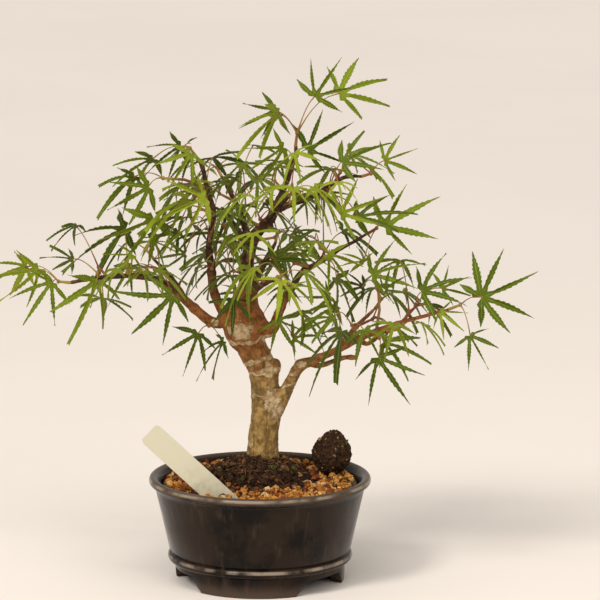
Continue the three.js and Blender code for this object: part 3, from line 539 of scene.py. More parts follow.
# %% Turn the pot
BEAD_ROUND = 3.5 * MM
ROLL_ROUND = 2.9 * MM
bead = arc((WALL_FOOT - 2.1 * MM, FOOT_TALL + 3.6 * MM), BEAD_ROUND, -80, 70, 9)
roll = arc((RIM - ROLL_ROUND, POT_TOP - ROLL_ROUND), ROLL_ROUND, -75, 120, 12)
profile = [
    (DRAIN, FOOT_TALL), (FOOT_RADIUS - FOOT_RING, FOOT_TALL), (FOOT_RADIUS - FOOT_RING, 0.6 * MM),
    (FOOT_RADIUS - FOOT_RING + 0.6 * MM, 0), (FOOT_RADIUS - 0.8 * MM, 0), (FOOT_RADIUS, 0.8 * MM),
    (FOOT_RADIUS + 0.4 * MM, FOOT_TALL - 1.2 * MM), *bead, (WALL_FOOT + 0.3 * MM, FLOOR_TOP + 1.2 * MM),
    (WALL_FOOT + 4.5 * MM, FLOOR_TOP + 20 * MM), (WALL_TOP - 0.6 * MM, POT_TOP - 9.5 * MM),
    (WALL_TOP + 0.4 * MM, POT_TOP - 6.6 * MM), *roll, (RIM - 6.2 * MM, POT_TOP - 1.6 * MM),
    (RIM - 8.2 * MM, POT_TOP - 4.2 * MM), (WALL_TOP - WALL, POT_TOP - 9 * MM),
    (WALL_FOOT - WALL, FLOOR_TOP), (DRAIN, FLOOR_TOP), (DRAIN, FOOT_TALL)]
bm = bmesh.new()
spin_profile(bm, profile, 128)
pot = piece_from("glazed_pot", bm, [], ["pot"])


# %% Cut the three arches
def arch_outline():
    """Half of the arch's outline as (across, height): upright, then an S-curve up to the flat top."""
    half = FOOT_RADIUS * math.sin(math.radians(FOOT_SHARE - FOOT_SPAN) / 2)
    steps = 8
    curve = []
    for i in range(steps + 1):
        t = i / steps
        ease = t * t * (3 - 2 * t)
        rise = (ARCH_TALL - ARCH_START) * (0.65 * ease + 0.35 * t)
        curve.append((half - ARCH_SWING * t, ARCH_START + rise))
    return [(half, -2 * MM), *curve]


half_outline = arch_outline()
outline = half_outline + [(-across, height) for across, height in reversed(half_outline)]
for i in range(FOOT_COUNT):
    cutter_bm = bmesh.new()
    corners = [cutter_bm.verts.new((0, across, height)) for across, height in outline]
    face = cutter_bm.faces.new(corners)
    swept = bmesh.ops.extrude_face_region(cutter_bm, geom=[face])
    moved = [item for item in swept["geom"] if isinstance(item, bmesh.types.BMVert)]
    bmesh.ops.translate(cutter_bm, verts=moved, vec=(3 * FOOT_RING, 0, 0))
    bmesh.ops.translate(cutter_bm, verts=cutter_bm.verts[:], vec=(FOOT_RADIUS - 2 * FOOT_RING, 0, 0))
    turn = math.radians(FOOT_TURN + (i + 0.5) * FOOT_SHARE)
    bmesh.ops.rotate(
        cutter_bm, verts=cutter_bm.verts[:], cent=(0, 0, 0), matrix=Matrix.Rotation(turn, 3, "Z"))
    bmesh.ops.recalc_face_normals(cutter_bm, faces=cutter_bm.faces[:])
    cutter_mesh = bpy.data.meshes.new("arch")
    cutter_bm.to_mesh(cutter_mesh)
    cutter_bm.free()
    cutter = bpy.data.objects.new("arch", cutter_mesh)
    bpy.context.scene.collection.objects.link(cutter)
    cut = pot.modifiers.new("cut", "BOOLEAN")
    cut.object = cutter
    cut.solver = "EXACT"
    apply_modifiers(pot)
    bpy.data.objects.remove(cutter)
print("arches cut:", FOOT_COUNT)

# %% Soften the edges and glaze
softened = pot.modifiers.new("soften", "BEVEL")
softened.width = 0.7 * MM
softened.segments = 2
softened.limit_method = "ANGLE"
softened.angle_limit = math.radians(42)
apply_modifiers(pot)
pot.data.materials.clear()
pot.data.materials.append(glaze_material(POT_TOP, RIM, FOOT_TALL + 4.6 * MM))
pot.data.shade_smooth()
pot.data.set_sharp_from_angle(angle=math.radians(50))
print("pot faces", len(pot.data.polygons))

# %% [markdown]
# ## Tubes
# Twigs, leaf stalks and roots are all tubes that taper. We start from a circle, extrude its edge ring
# from station to station, and set each new ring square to the path. Carrying the ring's own direction
# along, instead of working it out afresh each time, keeps the tube from twisting.


# %% A tapering tube
def rings_along(points):
    """For each point: (centre, side, up) with the two directions square to the path."""
    points = [Vector(point) for point in points]
    side = None
    rings = []
    for i, point in enumerate(points):
        ahead = points[min(i + 1, len(points) - 1)] - points[max(i - 1, 0)]
        ahead.normalize()
        if side is None:
            side = ahead.orthogonal().normalized()
        side = (side - ahead * side.dot(ahead)).normalized()
        rings.append((point, side, ahead.cross(side)))
    return rings


def add_tube(bm, points, radii, sides=6, material_index=0):
    made = bmesh.ops.create_circle(bm, cap_ends=False, segments=sides, radius=1.0)
    ring = made["verts"]
    start = list(ring)
    everything = list(ring)
    for i, (centre, side, up) in enumerate(rings_along(points)):
        if i:
            edges = list({edge for vert in ring for edge in vert.link_edges if edge.other_vert(vert) in ring})
            grown = bmesh.ops.extrude_edge_only(bm, edges=edges)["geom"]
            fresh = [item for item in grown if isinstance(item, bmesh.types.BMVert)]
            partner = {}
            for vert in fresh:
                for edge in vert.link_edges:
                    other = edge.other_vert(vert)
                    if other in ring:
                        partner[other] = vert
            ring = [partner[vert] for vert in ring]
            everything += ring
        for k, vert in enumerate(ring):
            turn = 2 * math.pi * k / sides
            vert.co = centre + (side * math.cos(turn) + up * math.sin(turn)) * radii[i]
    for rim in (start, ring):
        cap = bm.faces.new(rim)
        cap.material_index = material_index
    for vert in everything:
        for face in vert.link_faces:
            face.material_index = material_index
    return everything


def smooth_path(stations, per_span):
    """A centripetal curve through [x, y, z, radius] stations, as an array of points with radii."""
    pts = np.array(stations, dtype=float)
    ends = np.vstack([2 * pts[0] - pts[1], pts, 2 * pts[-1] - pts[-2]])
    path = []
    for i in range(len(pts) - 1):
        p = ends[i:i + 4]
        knots = [0.0]
        for a, b in zip(p, p[1:]):
            knots.append(knots[-1] + max(np.linalg.norm((b - a)[:3]), 1e-9) ** 0.5)
        for k in range(per_span):
            t = knots[1] + (knots[2] - knots[1]) * k / per_span
            mix = [((knots[j + 1] - t) * p[j] + (t - knots[j]) * p[j + 1]) / (knots[j + 1] - knots[j])
                   for j in range(3)]
            near = [((knots[j + 2] - t) * mix[j] + (t - knots[j]) * mix[j + 1]) / (knots[j + 2] - knots[j])
                    for j in range(2)]
            point = ((knots[2] - t) * near[0] + (t - knots[1]) * near[1]) / (knots[2] - knots[1])
            point[3] = p[1][3] + (p[2][3] - p[1][3]) * k / per_span
            path.append(point)
    path.append(pts[-1])
    return np.array(path)


print("tube helper ready")

# %% [markdown]
# ## The wood
# Trunk, old branches and roots grew as one piece. Each limb is a route of stations with a radius, in
# millimetres above the soil, the same routes as in the solid model. A remesh then melts the limbs
# into one skin, as bark grows over a fork, and small vertex moves add the knobbly look of a tree that
# has been pruned for years.

# %% Routes of the limbs: x, y, z above the soil, radius
limbs = {
    "trunk": [
        (2, 18, -12, 11.5), (2, 18, 4, 12), (1.8, 18, 16, 11), (2.4, 18, 32, 10.3), (3.6, 17, 45, 9.9),
        (3.6, 16, 56, 9.4), (3.3, 15, 68, 9.5), (1.5, 14.5, 78, 9.6), (-2.2, 14, 87, 9.8),
        (-6, 13, 95, 10.3), (-9.4, 12, 103, 13.6), (-10.5, 11, 111, 15), (-11, 10, 119, 12),
        (-9.5, 9, 129, 8), (-9, 8, 137, 5.5)],
    "leader": [
        (-10, 9, 127, 7), (-9, 8, 137, 5.2), (-8.4, 6, 153, 4.6), (-3.7, 4, 170, 4), (1.7, 3, 177, 3.6),
        (7.4, 2, 183, 3.2), (9.7, 0, 188, 3.3), (13.5, 0, 197, 2.4), (17.4, 0, 207, 2), (21.1, 0, 217, 1.7),
        (24.3, 0, 228, 1.4), (24, 0, 233, 1.2)],
    "left_long": [
        (-12, 9, 113, 5), (-22, 8, 111, 4), (-32, 5, 112, 3.6), (-46, 2, 124, 3), (-62, -2, 139, 2.6),
        (-77, -5, 145, 2.2), (-88, -8, 146, 1.9), (-107, -10, 145, 1.5), (-127, -12, 142, 1.1)],
    "left_upright": [
        (-22, 8, 111, 3.2), (-31, 5, 134, 3), (-32.5, 4, 151, 2.6), (-34, 2, 162, 2.4), (-32.5, 0, 175, 2),
        (-30.5, -2, 188, 1.8), (-35, -4, 205, 1.5), (-38, -5, 219, 1.3), (-42.5, -6, 227, 1.1)],
    "low_right": [
        (4, 16, 40, 6), (10.5, 15, 51, 6), (16.5, 12.5, 62, 4.8), (20, 11, 69, 4.1), (25.5, 8.5, 79, 3.7),
        (28, 8, 82, 4.1), (35, 6, 85, 3.1), (42, 4, 88.5, 2.6), (54.6, 0, 95, 2.3), (68, -4, 103, 2.1),
        (78, -7, 108, 1.9),
        (87.4, -9, 112, 1.7), (95, -10, 115, 1.5), (113.5, -11, 120, 1.1), (127, -12, 124, 1)],
    "low_right_twig": [(32, 6, 84, 1.8), (39, 7, 81.5, 1.7), (57, 8, 87, 1.5), (65, 8, 87, 1.7)],
    "short_right_twig": [(66, -3, 102, 1.6), (72, 0, 98, 1.5), (81, 4, 103, 1.2)],
    "dark_left": [(-6, 6, 160, 2.6), (-16.4, 12, 175.5, 2), (-26, 14, 188.5, 1.5)],
    "right_upper": [
        (9.7, 0, 188, 2.4), (21.8, -4, 194, 2), (33.8, -8, 199, 1.8), (44, -12, 206, 1.6),
        (57, -16, 214, 1.3), (69, -19, 215, 1)],
    "mid_right": [
        (-2, 10, 104, 5), (7, 9, 105, 4), (11, 8, 113, 3.2), (15, 7, 123, 2.7), (21, 5, 134, 2.3),
        (28, 3, 146, 2), (40.5, 0, 154, 1.6), (57, -8, 166, 1.3), (64, -10, 170, 1.2), (73, -11, 176, 1)],
    "back_high": [(-6, 6, 160, 2.8), (-12, 24, 180, 2.2), (-20, 42, 194, 1.6), (-26, 58, 202, 1)],
    "back_low": [(-11, 12, 118, 4), (-5, 32, 132, 3), (3, 52, 144, 2.2), (10, 70, 154, 1.2)],
    "front_high": [(4, 3, 180, 2.4), (14, -20, 196, 1.8), (20, -38, 205, 1.1)],
    "front_low": [(-10, 6, 124, 3.2), (-2, -18, 139, 2.4), (7, -38, 148, 1.7), (14, -55, 152, 1)],
    "left_back": [(-50, 1, 128, 2.2), (-60, 24, 139, 1.7), (-72, 42, 148, 1)],
    "left_front": [(-64, -2, 140, 2), (-73, -24, 147, 1.5), (-82, -42, 151, 1)],
    "right_back": [(52, 1, 94, 2), (65, 24, 105, 1.6), (78, 42, 114, 1)],
    "right_front": [(68, -4, 103, 1.9), (80, -26, 111, 1.4), (91, -42, 116, 1)],
}
burls = [
    ((9.5, 11, 80), (4.8, 4.6, 6.2)), ((-18, 8, 113), (8.5, 7.5, 7)), ((-2, 8, 110), (8, 7, 7)),
    ((12, 13, 5), (6.5, 6, 8)), ((6, 1, 177), (3.6, 3.6, 3.4)), ((-9, 11, 166), (3.6, 3.6, 4))]
TREE_FOOT = (2, 18)
ROOT_TURNS = (20, 92, 165, 238, 306)
ROOT_REACH = 40
ROOT_DEPTH = 34
ROOT_ROOM = 46  # roots keep inside this radius round the pot's axis
SOIL_MM = SOIL_TOP / MM


def raised(station):
    return (station[0], station[1], station[2] + SOIL_MM, *station[3:])


def root_routes():
    """Five roots that spread from the foot of the trunk and stop short of the wall."""
    routes = []
    for turn in ROOT_TURNS:
        direction = Vector((math.cos(math.radians(turn)), math.sin(math.radians(turn)), 0))
        foot = Vector((*TREE_FOOT, 0))
        along = foot.dot(direction)
        reach = min(ROOT_REACH, math.sqrt(along ** 2 + ROOT_ROOM ** 2 - foot.length_squared) - along)
        route = []
        for share, depth, radius in ((0.06, -2, 5), (0.4, 0.3, 4), (0.72, 0.68, 2.8), (1, 1, 1.4)):
            point = foot + direction * reach * share
            z = 2 if depth < 0 else -ROOT_DEPTH * depth
            route.append((point.x, point.y, z, radius))
        routes.append(route)
    return routes


print("limbs:", len(limbs), "burls:", len(burls), "roots:", len(ROOT_TURNS))


# %% Build the limbs and melt them together
VOXEL = 0.68 * MM
NODE_EVERY = 15  # a twig swells at its buds, this many mm apart
NODE_HALF = 1.6
THIN_TWIG = 3.2
LEAST_RADIUS = 1.05
bm = bmesh.new()
for name, route in limbs.items():
    path = smooth_path([raised(station) for station in route], 6)
    nodes = random.Random(name)
    phase = nodes.uniform(0, 14)
    travelled = 0.0
    radii = []
    for i, point in enumerate(path):
        if i:
            travelled += float(np.linalg.norm(point[:3] - path[i - 1][:3]))
        swell = max(0.0, 1 - abs((travelled + phase) % NODE_EVERY - NODE_EVERY / 2) / NODE_HALF)
        fullness = 0.30 if point[3] < THIN_TWIG else 0.05
        radii.append(max(point[3], LEAST_RADIUS) * (1 + fullness * swell) * MM)
    add_tube(bm, [Vector(point[:3]) * MM for point in path], radii, 14)
for route in root_routes():
    path = smooth_path([raised(station) for station in route], 4)
    add_tube(bm, [Vector(point[:3]) * MM for point in path], [point[3] * MM for point in path], 10)
for centre, radii in burls:
    place = Matrix.Translation(Vector(raised(centre)) * MM) @ Matrix.Diagonal((*[r * MM for r in radii], 1))
    bmesh.ops.create_icosphere(bm, subdivisions=3, radius=1.0, matrix=place)
wood = piece_from("maple_wood", bm, [], ["trunk"])
melt = wood.modifiers.new("melt", "REMESH")
melt.mode = "VOXEL"
melt.voxel_size = VOXEL
apply_modifiers(wood)
print("melted faces:", len(wood.data.polygons))

# %% Roughen the skin
bm = bmesh.new()
bm.from_mesh(wood.data)
for _ in range(4):
    bmesh.ops.smooth_vert(
        bm, verts=bm.verts[:], factor=0.5, use_axis_x=True, use_axis_y=True, use_axis_z=True)
bm.normal_update()
for vert in bm.verts:
    at = vert.co / MM
    above = at.z - SOIL_MM
    thick = 1.0 if above < 125 and abs(at.x) < 26 and abs(at.y - 13) < 16 else 0.3
    swirl = Vector((at.x * 0.13, at.y * 0.13, at.z * 0.05))
    move = thick * (0.85 * noise.fractal(swirl, 0.8, 2.1, 4) + 0.22 * noise.noise(at * 0.8))
    vert.co += vert.normal * (move + 0.12) * MM
bm.to_mesh(wood.data)
bm.free()
print("roughened vertices:", len(wood.data.vertices))

# %% Healed cuts and rings, and the bark over all
spots = [  # centre above the soil in mm, and how tightly the spot is drawn in on each axis
    ((8, 6, 57), (160, 60, 110)), ((13, 7, 48), (190, 80, 170)), ((6, 5, 80), (290, 80, 250)),
    ((28, 4, 83), (280, 120, 300)), ((-13, -1, 107), (110, 60, 150)),
    ((-30, 2, 112), (330, 150, 330)), ((9.7, -3, 188), (300, 150, 330)), ((-8, 8, 26), (330, 120, 300)),
    ((8, 27, 70), (150, 70, 130)), ((-12, 24, 112), (110, 60, 120))]
rings = [  # centre above the soil in mm, tilt, half width in mm
    ((-5, 13, 99), (-0.15, 0, 1), 1.9), ((0, 14, 85), (-0.31, 0, 1), 2.0), ((2, 15, 76), (-0.08, 0, 1), 2.1),
    ((4, 16, 62), (-0.35, 0, 1), 0.8)]
wood.data.materials.append(bark_material(
    SOIL_TOP, [(Vector(raised(centre)) * MM, stretch) for centre, stretch in spots],
    [(Vector(raised(centre)) * MM, tilt, width * MM) for centre, tilt, width in rings]))
wood.data.shade_smooth()
print("healed cuts:", len(spots), "rings:", len(rings))

# %% [markdown]
# ## The crown: where each leaf hangs
# Maple leaves sit in pairs on this year's thin shoots. The solid model sets out each shoot (a spray) and
# lets a leaf that would touch another move until it hangs clear. We repeat the same routes and the same
# rule here, so that each detailed leaf hangs where its plain solid is.

# %% Sprays set out one by one
# Each leaf: x, y, z of the blade's foot, heading, lean, roll, length of the middle lobe, lobes.
sprays = {
    "apex_spray": ([(24, 0, 232), (25, 0, 241)], [
        (37, -4, 266, 59, -10, 80, 33, 5), (53, 10, 266, 21, 20, 60, 38, 5),
        (11, 6, 256, -153, 10, 75, 27, 5), (13, -12, 256, -141, -10, 35, 43, 5)]),
    "leader_spray": ([(21.1, 0, 217), (24, -6, 223)], [
        (16, -14, 233, -152, -10, 60, 30, 5), (32, 0, 230, 31, 0, 85, 36, 5)]),
    "upper_right_tip_spray": ([(68, -19, 215), (74, -20, 217)], [
        (55, -26, 225, 32, -10, 40, 35, 5), (83, -16, 225, 20, 0, 75, 24, 5)]),
    "upper_right_spray": ([(44, -12, 206), (50, -20, 202)], [
        (54, -30, 196, 27, -20, 80, 32, 5), (65, -12, 186, 18, 0, 30, 38, 5)]),
    "mid_right_tip_spray": ([(72, -11, 175), (78, -12, 179)], [
        (84, -14, 182, 33, 0, 72, 42, 5), (70, -22, 182, 150, -30, 60, 24, 5)]),
    "mid_right_spray": ([(44, -1, 156), (47, -10, 157)], [
        (46, -24, 162, -51, -20, 80, 27, 5), (51, -14, 146, -65, 0, 30, 35, 5)]),
    "right_riser_spray": ([(78, -7, 108), (80, -14, 124), (79, -18, 138)], [
        (75, -22, 149, 27, -10, 50, 35, 5), (83, -30, 140, 40, -30, 70, 20, 5),
        (70, -8, 140, 160, 20, 50, 24, 5)]),
    "low_right_spray": ([(95, -10, 115), (104, -13, 126)], [
        (108, -18, 137, 31, -10, 45, 38, 5), (122, 4, 135, 22, 20, 70, 22, 5),
        (120, -22, 124, -30, -20, 60, 22, 5)]),
    "right_tip_spray": ([(126, -12, 123.8), (134, -12, 127)], [
        (148, -12, 132, 26, 0, 80, 44, 7), (140, -22, 124, -55, -20, 70, 24, 5)]),
    "low_front_spray": ([(78, -7, 108), (80, -15, 105)], [
        (79, -26, 94, -60, -15, 88, 35, 5), (83, -18, 104, -18, 0, 40, 34, 5)]),
    "low_inner_spray": ([(54.6, 0, 95), (54, -6, 104)], [
        (52, -16, 128, -156, -10, 50, 30, 5), (55, -26, 112, -125, -10, 35, 45, 5),
        (47, 6, 129, -176, 10, 80, 22, 5)]),
    "head_right_spray": ([(12, 8, 109), (14, 1, 113)], [
        (12, -10, 116, -60, -20, 80, 25, 5), (22, -6, 119, 12, -10, 60, 24, 5)]),
    "centre_spray": ([(-8.4, 6, 153), (-8, -4, 156)], [
        (-7, -14, 167, -92, -10, 85, 20, 5), (-5, -24, 151, -122, -10, 30, 41, 5),
        (10, -12, 161, 45, -10, 40, 34, 5)]),
    "left_top_spray": ([(-42, -6, 226), (-46, -7, 232)], [
        (-52, -10, 234, -150, 0, 55, 30, 5), (-45, -22, 231, -125, -20, 80, 28, 5),
        (-71, 4, 223, -153, 10, 40, 34, 5)]),
    "left_upper_spray": ([(-35, -4, 205), (-50, -8, 211), (-64, -8, 212)], [
        (-83, -6, 213, -144, 0, 50, 32, 5), (-73, -20, 208, -151, -10, 70, 33, 5),
        (-47, -26, 213, -140, -10, 30, 45, 5)]),
    "left_inner_spray": ([(-30.5, -2, 188), (-33, -10, 190)], [
        (-35, -18, 197, -162, -10, 85, 33, 5), (-49, -24, 188, -178, -20, 70, 20, 5),
        (-55, -12, 179, -134, 0, 60, 26, 5)]),
    "left_mid_spray": ([(-62, -2, 139), (-66, -8, 147)], [
        (-70, -20, 159, -125, -5, 50, 46, 5), (-57, -12, 132, -138, 5, 85, 40, 5)]),
    "left_outer_spray": ([(-88, -8, 146), (-88, -12, 157)], [
        (-89, -16, 180, -159, -5, 45, 48, 5), (-84, -28, 172, -140, -20, 75, 22, 5)]),
    "left_fan_spray": ([(-107, -10, 145), (-108, -14, 149)], [
        (-108, -20, 157, -112, -10, 55, 41, 5), (-125, -2, 156, 173, 10, 50, 22, 5)]),
    "left_tip_spray": ([(-126, -12, 142), (-134, -13, 143)], [
        (-147, -14, 152, -137, 0, 60, 37, 5), (-138, -26, 145, -125, -15, 80, 30, 5),
        (-156, 4, 150, -163, 10, 60, 31, 5)]),
    "head_left_spray": ([(-31, 5, 112), (-34, -3, 111)], [
        (-41, -14, 108, -116, -10, 70, 30, 5), (-24, -12, 102, -137, -20, 40, 28, 5)]),
}
print("sprays set out by hand:", len(sprays))

# %% Sprays that follow a rule: limb, share of its length, direction round Z, leaves
plain_sprays = {
    "back_high_tip_spray": ("back_high", 1, 110, 3),
    "back_high_spray": ("back_high", 0.6, 165, 2),
    "back_low_tip_spray": ("back_low", 1, 82, 3),
    "back_low_spray": ("back_low", 0.66, 20, 2),
    "front_high_tip_spray": ("front_high", 1, -80, 3),
    "front_low_tip_spray": ("front_low", 1, -85, 3),
    "front_low_spray": ("front_low", 0.66, -140, 2),
    "left_back_tip_spray": ("left_back", 1, 120, 2),
    "left_back_spray": ("left_back", 0.55, 175, 2),
    "left_front_tip_spray": ("left_front", 1, -80, 3),
    "right_back_tip_spray": ("right_back", 1, 65, 2),
    "right_back_spray": ("right_back", 0.55, 5, 2),
    "right_front_tip_spray": ("right_front", 1, -70, 2),
    "left_long_back_spray": ("left_long", 0.8, 125, 2),
    "upper_right_back_spray": ("right_upper", 0.7, 70, 2),
    "leader_back_spray": ("leader", 0.72, 120, 2),
    "low_right_back_spray": ("low_right", 0.8, 70, 2),
    "mid_right_back_spray": ("mid_right", 0.6, 60, 2),
    "upright_back_spray": ("left_upright", 0.7, 115, 2),
}
lobe_plans = {
    5: [(-82, 0.58), (-40, 0.88), (0, 1), (40, 0.88), (82, 0.58)],
    7: [(-118, 0.42), (-78, 0.7), (-38, 0.9), (0, 1), (38, 0.9), (78, 0.7), (118, 0.42)],
}
SAG = 0.14
LOBE_RADIUS = 2.4  # half the room, in mm, that a lobe, a leaf stalk or a stem asks for
STALK_RADIUS = 0.7
STEM_RADIUS = 0.9
print("sprays by rule:", len(plain_sprays))


# %% Repeatable chance, and the frame of a leaf
class Chance:
    """A small repeatable source of numbers, the same one as in the solid model."""

    def __init__(self, seed):
        self.state = seed

    def between(self, low, high):
        self.state = self.state * 16807 % 2147483647
        return low + (high - low) * self.state / 2147483647


def polar(angle):
    return math.cos(math.radians(angle)), math.sin(math.radians(angle))


def blade_axes(along, level, roll):
    lift = np.cross(along, level)
    cosine, sine = polar(roll)
    across = level * cosine + lift * sine
    face = np.cross(along, across)
    if face @ np.array((0, -0.5, 1)) < 0:
        across, face = -across, -face
    return {"along": along, "across": across, "face": face}


def set_out_leaf(leaf, root):
    x, y, z, heading, lean, roll, size, lobes = leaf
    (ch, sh), (cl, sl) = polar(heading), polar(lean)
    along = np.array((ch * cl, sl, sh * cl))
    level = np.array((ch * sl, -cl, sh * sl))
    return {"foot": np.array(raised((x, y, z))), "root": root, "size": size, "lobes": lobes,
            **blade_axes(along, level, roll)}


def plain_leaf(node, turn, droop, roll, stalk, size):
    (ct, st), (cd, sd) = polar(turn), polar(droop)
    along = np.array((ct * cd, st * cd, -sd))
    level = np.array((-st, ct, 0.0))
    foot = node + np.array((ct * stalk, st * stalk, stalk * 0.25))
    return {"foot": foot, "root": node, "size": size, "lobes": 5, **blade_axes(along, level, roll)}


print("leaf frames ready")


# %% How near a leaf comes to what hangs there already
def lobe_tips(leaf):
    tips = []
    for angle, reach in lobe_plans[leaf["lobes"]]:
        cosine, sine = polar(angle)
        tips.append(leaf["foot"] + leaf["size"] * (
            leaf["along"] * cosine * reach + leaf["across"] * sine * reach - leaf["face"] * SAG * reach ** 2))
    return tips


crown = {"from": [], "to": [], "radius": [], "family": []}


def remember(start, stop, radius, family):
    for key, value in zip(crown, (start, stop, radius, family)):
        crown[key].append(value)


def clearance(leaf, family):
    """The least distance from a leaf's lobes and stalk to everything that hangs there already."""
    starts, stops = np.array(crown["from"]), np.array(crown["to"])
    radii = np.array(crown["radius"])
    own = np.array([name == family for name in crown["family"]])
    reach = 90
    near = (abs(starts[:, 0] - leaf["foot"][0]) < reach) & (abs(starts[:, 2] - leaf["foot"][2]) < reach)
    mine = [(leaf["foot"], tip, LOBE_RADIUS, near) for tip in lobe_tips(leaf)]
    mine.append((leaf["root"], leaf["foot"], STALK_RADIUS, near & ~own))
    least = 1e9
    for a, b, radius, chosen in mine:
        if not chosen.any():
            continue
        c, d = starts[chosen], stops[chosen]
        u, v, w = b - a, d - c, a - c
        uu, uv, vv, uw, vw = u @ u, v @ u, (v * v).sum(1), w @ u, (v * w).sum(1)
        spread = uu * vv - uv * uv
        s = np.where(spread > 1e-9, np.clip((uv * vw - vv * uw) / np.maximum(spread, 1e-9), 0, 1), 0)
        t = np.clip((uv * s + vw) / vv, 0, 1)
        s = np.clip((uv * t - uw) / uu, 0, 1)
        apart = np.linalg.norm(w + s[:, None] * u - t[:, None] * v, axis=1) - radius - radii[chosen]
        least = min(least, apart.min())
    return least


print("clearance rule ready")

# %% Let a leaf find room
ENOUGH_APART = 0.6
TRIES = 41
STRIDES = [np.array(stride) for stride in ((0, 5, -1.3), (0, -5, 1.3), (0, 0, -4), (0, 0, 4))]


def settle(leaf, family):
    """Move a leaf in growing strides until it hangs clear, or keep its best place."""
    best, best_apart = None, -1e9
    for i in range(TRIES):
        moved = {**leaf, "foot": leaf["foot"] + STRIDES[i % 4] * math.ceil(i / 4)}
        apart = clearance(moved, family)
        if apart > best_apart:
            best, best_apart = moved, apart
        if apart > ENOUGH_APART:
            break
    for tip in lobe_tips(best):
        remember(best["foot"], tip, LOBE_RADIUS, family)
    remember(best["root"], best["foot"], STALK_RADIUS, family)
    return best, best_apart


print("directions to try:", len(STRIDES), "tries:", TRIES)

# %% Settle the crown
limb_paths = {name: smooth_path([raised(station) for station in route], 40)[:, :3]
              for name, route in limbs.items()}


def along_limb(name, share):
    path = limb_paths[name]
    steps = np.linalg.norm(np.diff(path, axis=0), axis=1)
    travelled = np.concatenate([[0], np.cumsum(steps)])
    target = share * travelled[-1]
    return np.array([np.interp(target, travelled, path[:, axis]) for axis in range(3)])


def plain_spray(name, limb_name, share, turn, count, dice):
    start = along_limb(limb_name, share)
    end = start + 11 * np.array((*polar(turn), 0.45))
    sides = (-62, 58, 0) if count == 3 else (-48, 44)
    leaves = []
    for side in sides:
        turned = turn + side + dice.between(-9, 9)
        droop, roll = dice.between(22, 48), dice.between(-24, 24)
        leaves.append(plain_leaf(end, turned, droop, roll, dice.between(13, 19), dice.between(25, 33)))
    return name, [start, end], leaves


for route in limbs.values():
    points = [raised(station) for station in route]
    for first, second in zip(points, points[1:]):
        remember(np.array(first[:3]), np.array(second[:3]), max(first[3], second[3]), "wood")
dice = Chance(41)
crown_plan = []
for name, (stem, leaves) in sprays.items():
    stations = [np.array(raised(station)) for station in stem]
    crown_plan.append((name, stations, [set_out_leaf(leaf, stations[-1]) for leaf in leaves]))
for name, (limb_name, share, turn, count) in plain_sprays.items():
    crown_plan.append(plain_spray(name, limb_name, share, turn, count, dice))
for name, stem, _ in crown_plan:
    for first, second in zip(stem, stem[1:]):
        remember(first, second, STEM_RADIUS, name)
settled = []
for name, stem, leaves in crown_plan:
    settled.append((name, stem, [settle(leaf, name)[0] for leaf in leaves]))
print("sprays:", len(settled), "leaves:", sum(len(leaves) for _, _, leaves in settled))

# %% [markdown]
# ## A leaf
# A cut maple leaf is a fan of narrow lobes that meet in a small palm. Each lobe is a little grid, two
# squares wide, that we pull into a blade: wide at a third of its length, drawn out to a thread at the
# tip, with saw teeth on both edges. Inside the palm the edge points of neighbouring lobes fall on
# the same spot, so merging doubles sews the lobes into one sheet, and a thin solidify gives it a body.

# %% Build one lobe
PALM = 0.13  # the palm's radius, and all widths below, are shares of the middle lobe's length
PALM_STEPS = 3
LOBE_STEPS = 20
TOOTH_CUT = 0.74
TOOTH_FORWARD = 0.55
TEETH_END = 0.93
OUTER_ANGLE = 34
WIDTH_PLACES = (0.0, 0.15, 0.35, 0.55, 0.75, 0.9, 1.0)
WIDTHS = (0.60, 0.85, 1.0, 0.84, 0.48, 0.17, 0.0)


def lobe_half_width(share, fullness):
    """Half-width of a lobe at a share of its free length: a lance shape with a long fine tip."""
    return fullness * float(np.interp(share, WIDTH_PLACES, WIDTHS))


def add_lobe(bm, leaf, angle, reach, left, right, habit, layers):
    """One lobe. left and right are the half angles to its neighbours, habit its small differences."""
    uv_layer, tone_layer = layers
    made = bmesh.ops.create_grid(bm, x_segments=2, y_segments=LOBE_STEPS, size=0.5)["verts"]
    place = {vert: (round(vert.co.x * 2), round((vert.co.y + 0.5) * LOBE_STEPS)) for vert in made}
    cosine, sine = polar(angle)
    for vert, (side, step) in place.items():
        if step <= PALM_STEPS:
            radius = PALM * step / PALM_STEPS
            turn = angle + (right if side > 0 else -left if side < 0 else 0)
            a, b = polar(turn)
            a, b, rise, share = a * radius, b * radius, 0.0, 0.0
        else:
            share = (step - PALM_STEPS) / (LOBE_STEPS - PALM_STEPS)
            radius = PALM + (reach - PALM) * share
            half = lobe_half_width(share, habit["fullness"])
            notch = step % 2 == 1 and share < TEETH_END
            half *= TOOTH_CUT if notch else 1.0
            rise = abs(side) * half * math.sin(habit["fold"])
            half *= math.cos(habit["fold"])
            forward = 0 if notch or not side else TOOTH_FORWARD * (reach - PALM) / LOBE_STEPS
            drift = habit["curve"] * share ** 2
            a = (radius + forward) * cosine - (side * half + drift) * sine
            b = (radius + forward) * sine + (side * half + drift) * cosine
        sag = -SAG * (a * a + b * b) + rise + habit["twist"] * side * share * 0.05
        point = leaf["foot"] + leaf["size"] * (leaf["along"] * a + leaf["across"] * b + leaf["face"] * sag)
        point[2] -= leaf["size"] * habit["droop"] * (a * a + b * b)
        vert.co = Vector(point) * MM
        vert[tone_layer] = habit["tone"]
    for face in {face for vert in made for face in vert.link_faces}:
        for loop in face.loops:
            side, step = place[loop.vert]
            loop[uv_layer].uv = (0.5 + 0.5 * side, step / LOBE_STEPS)


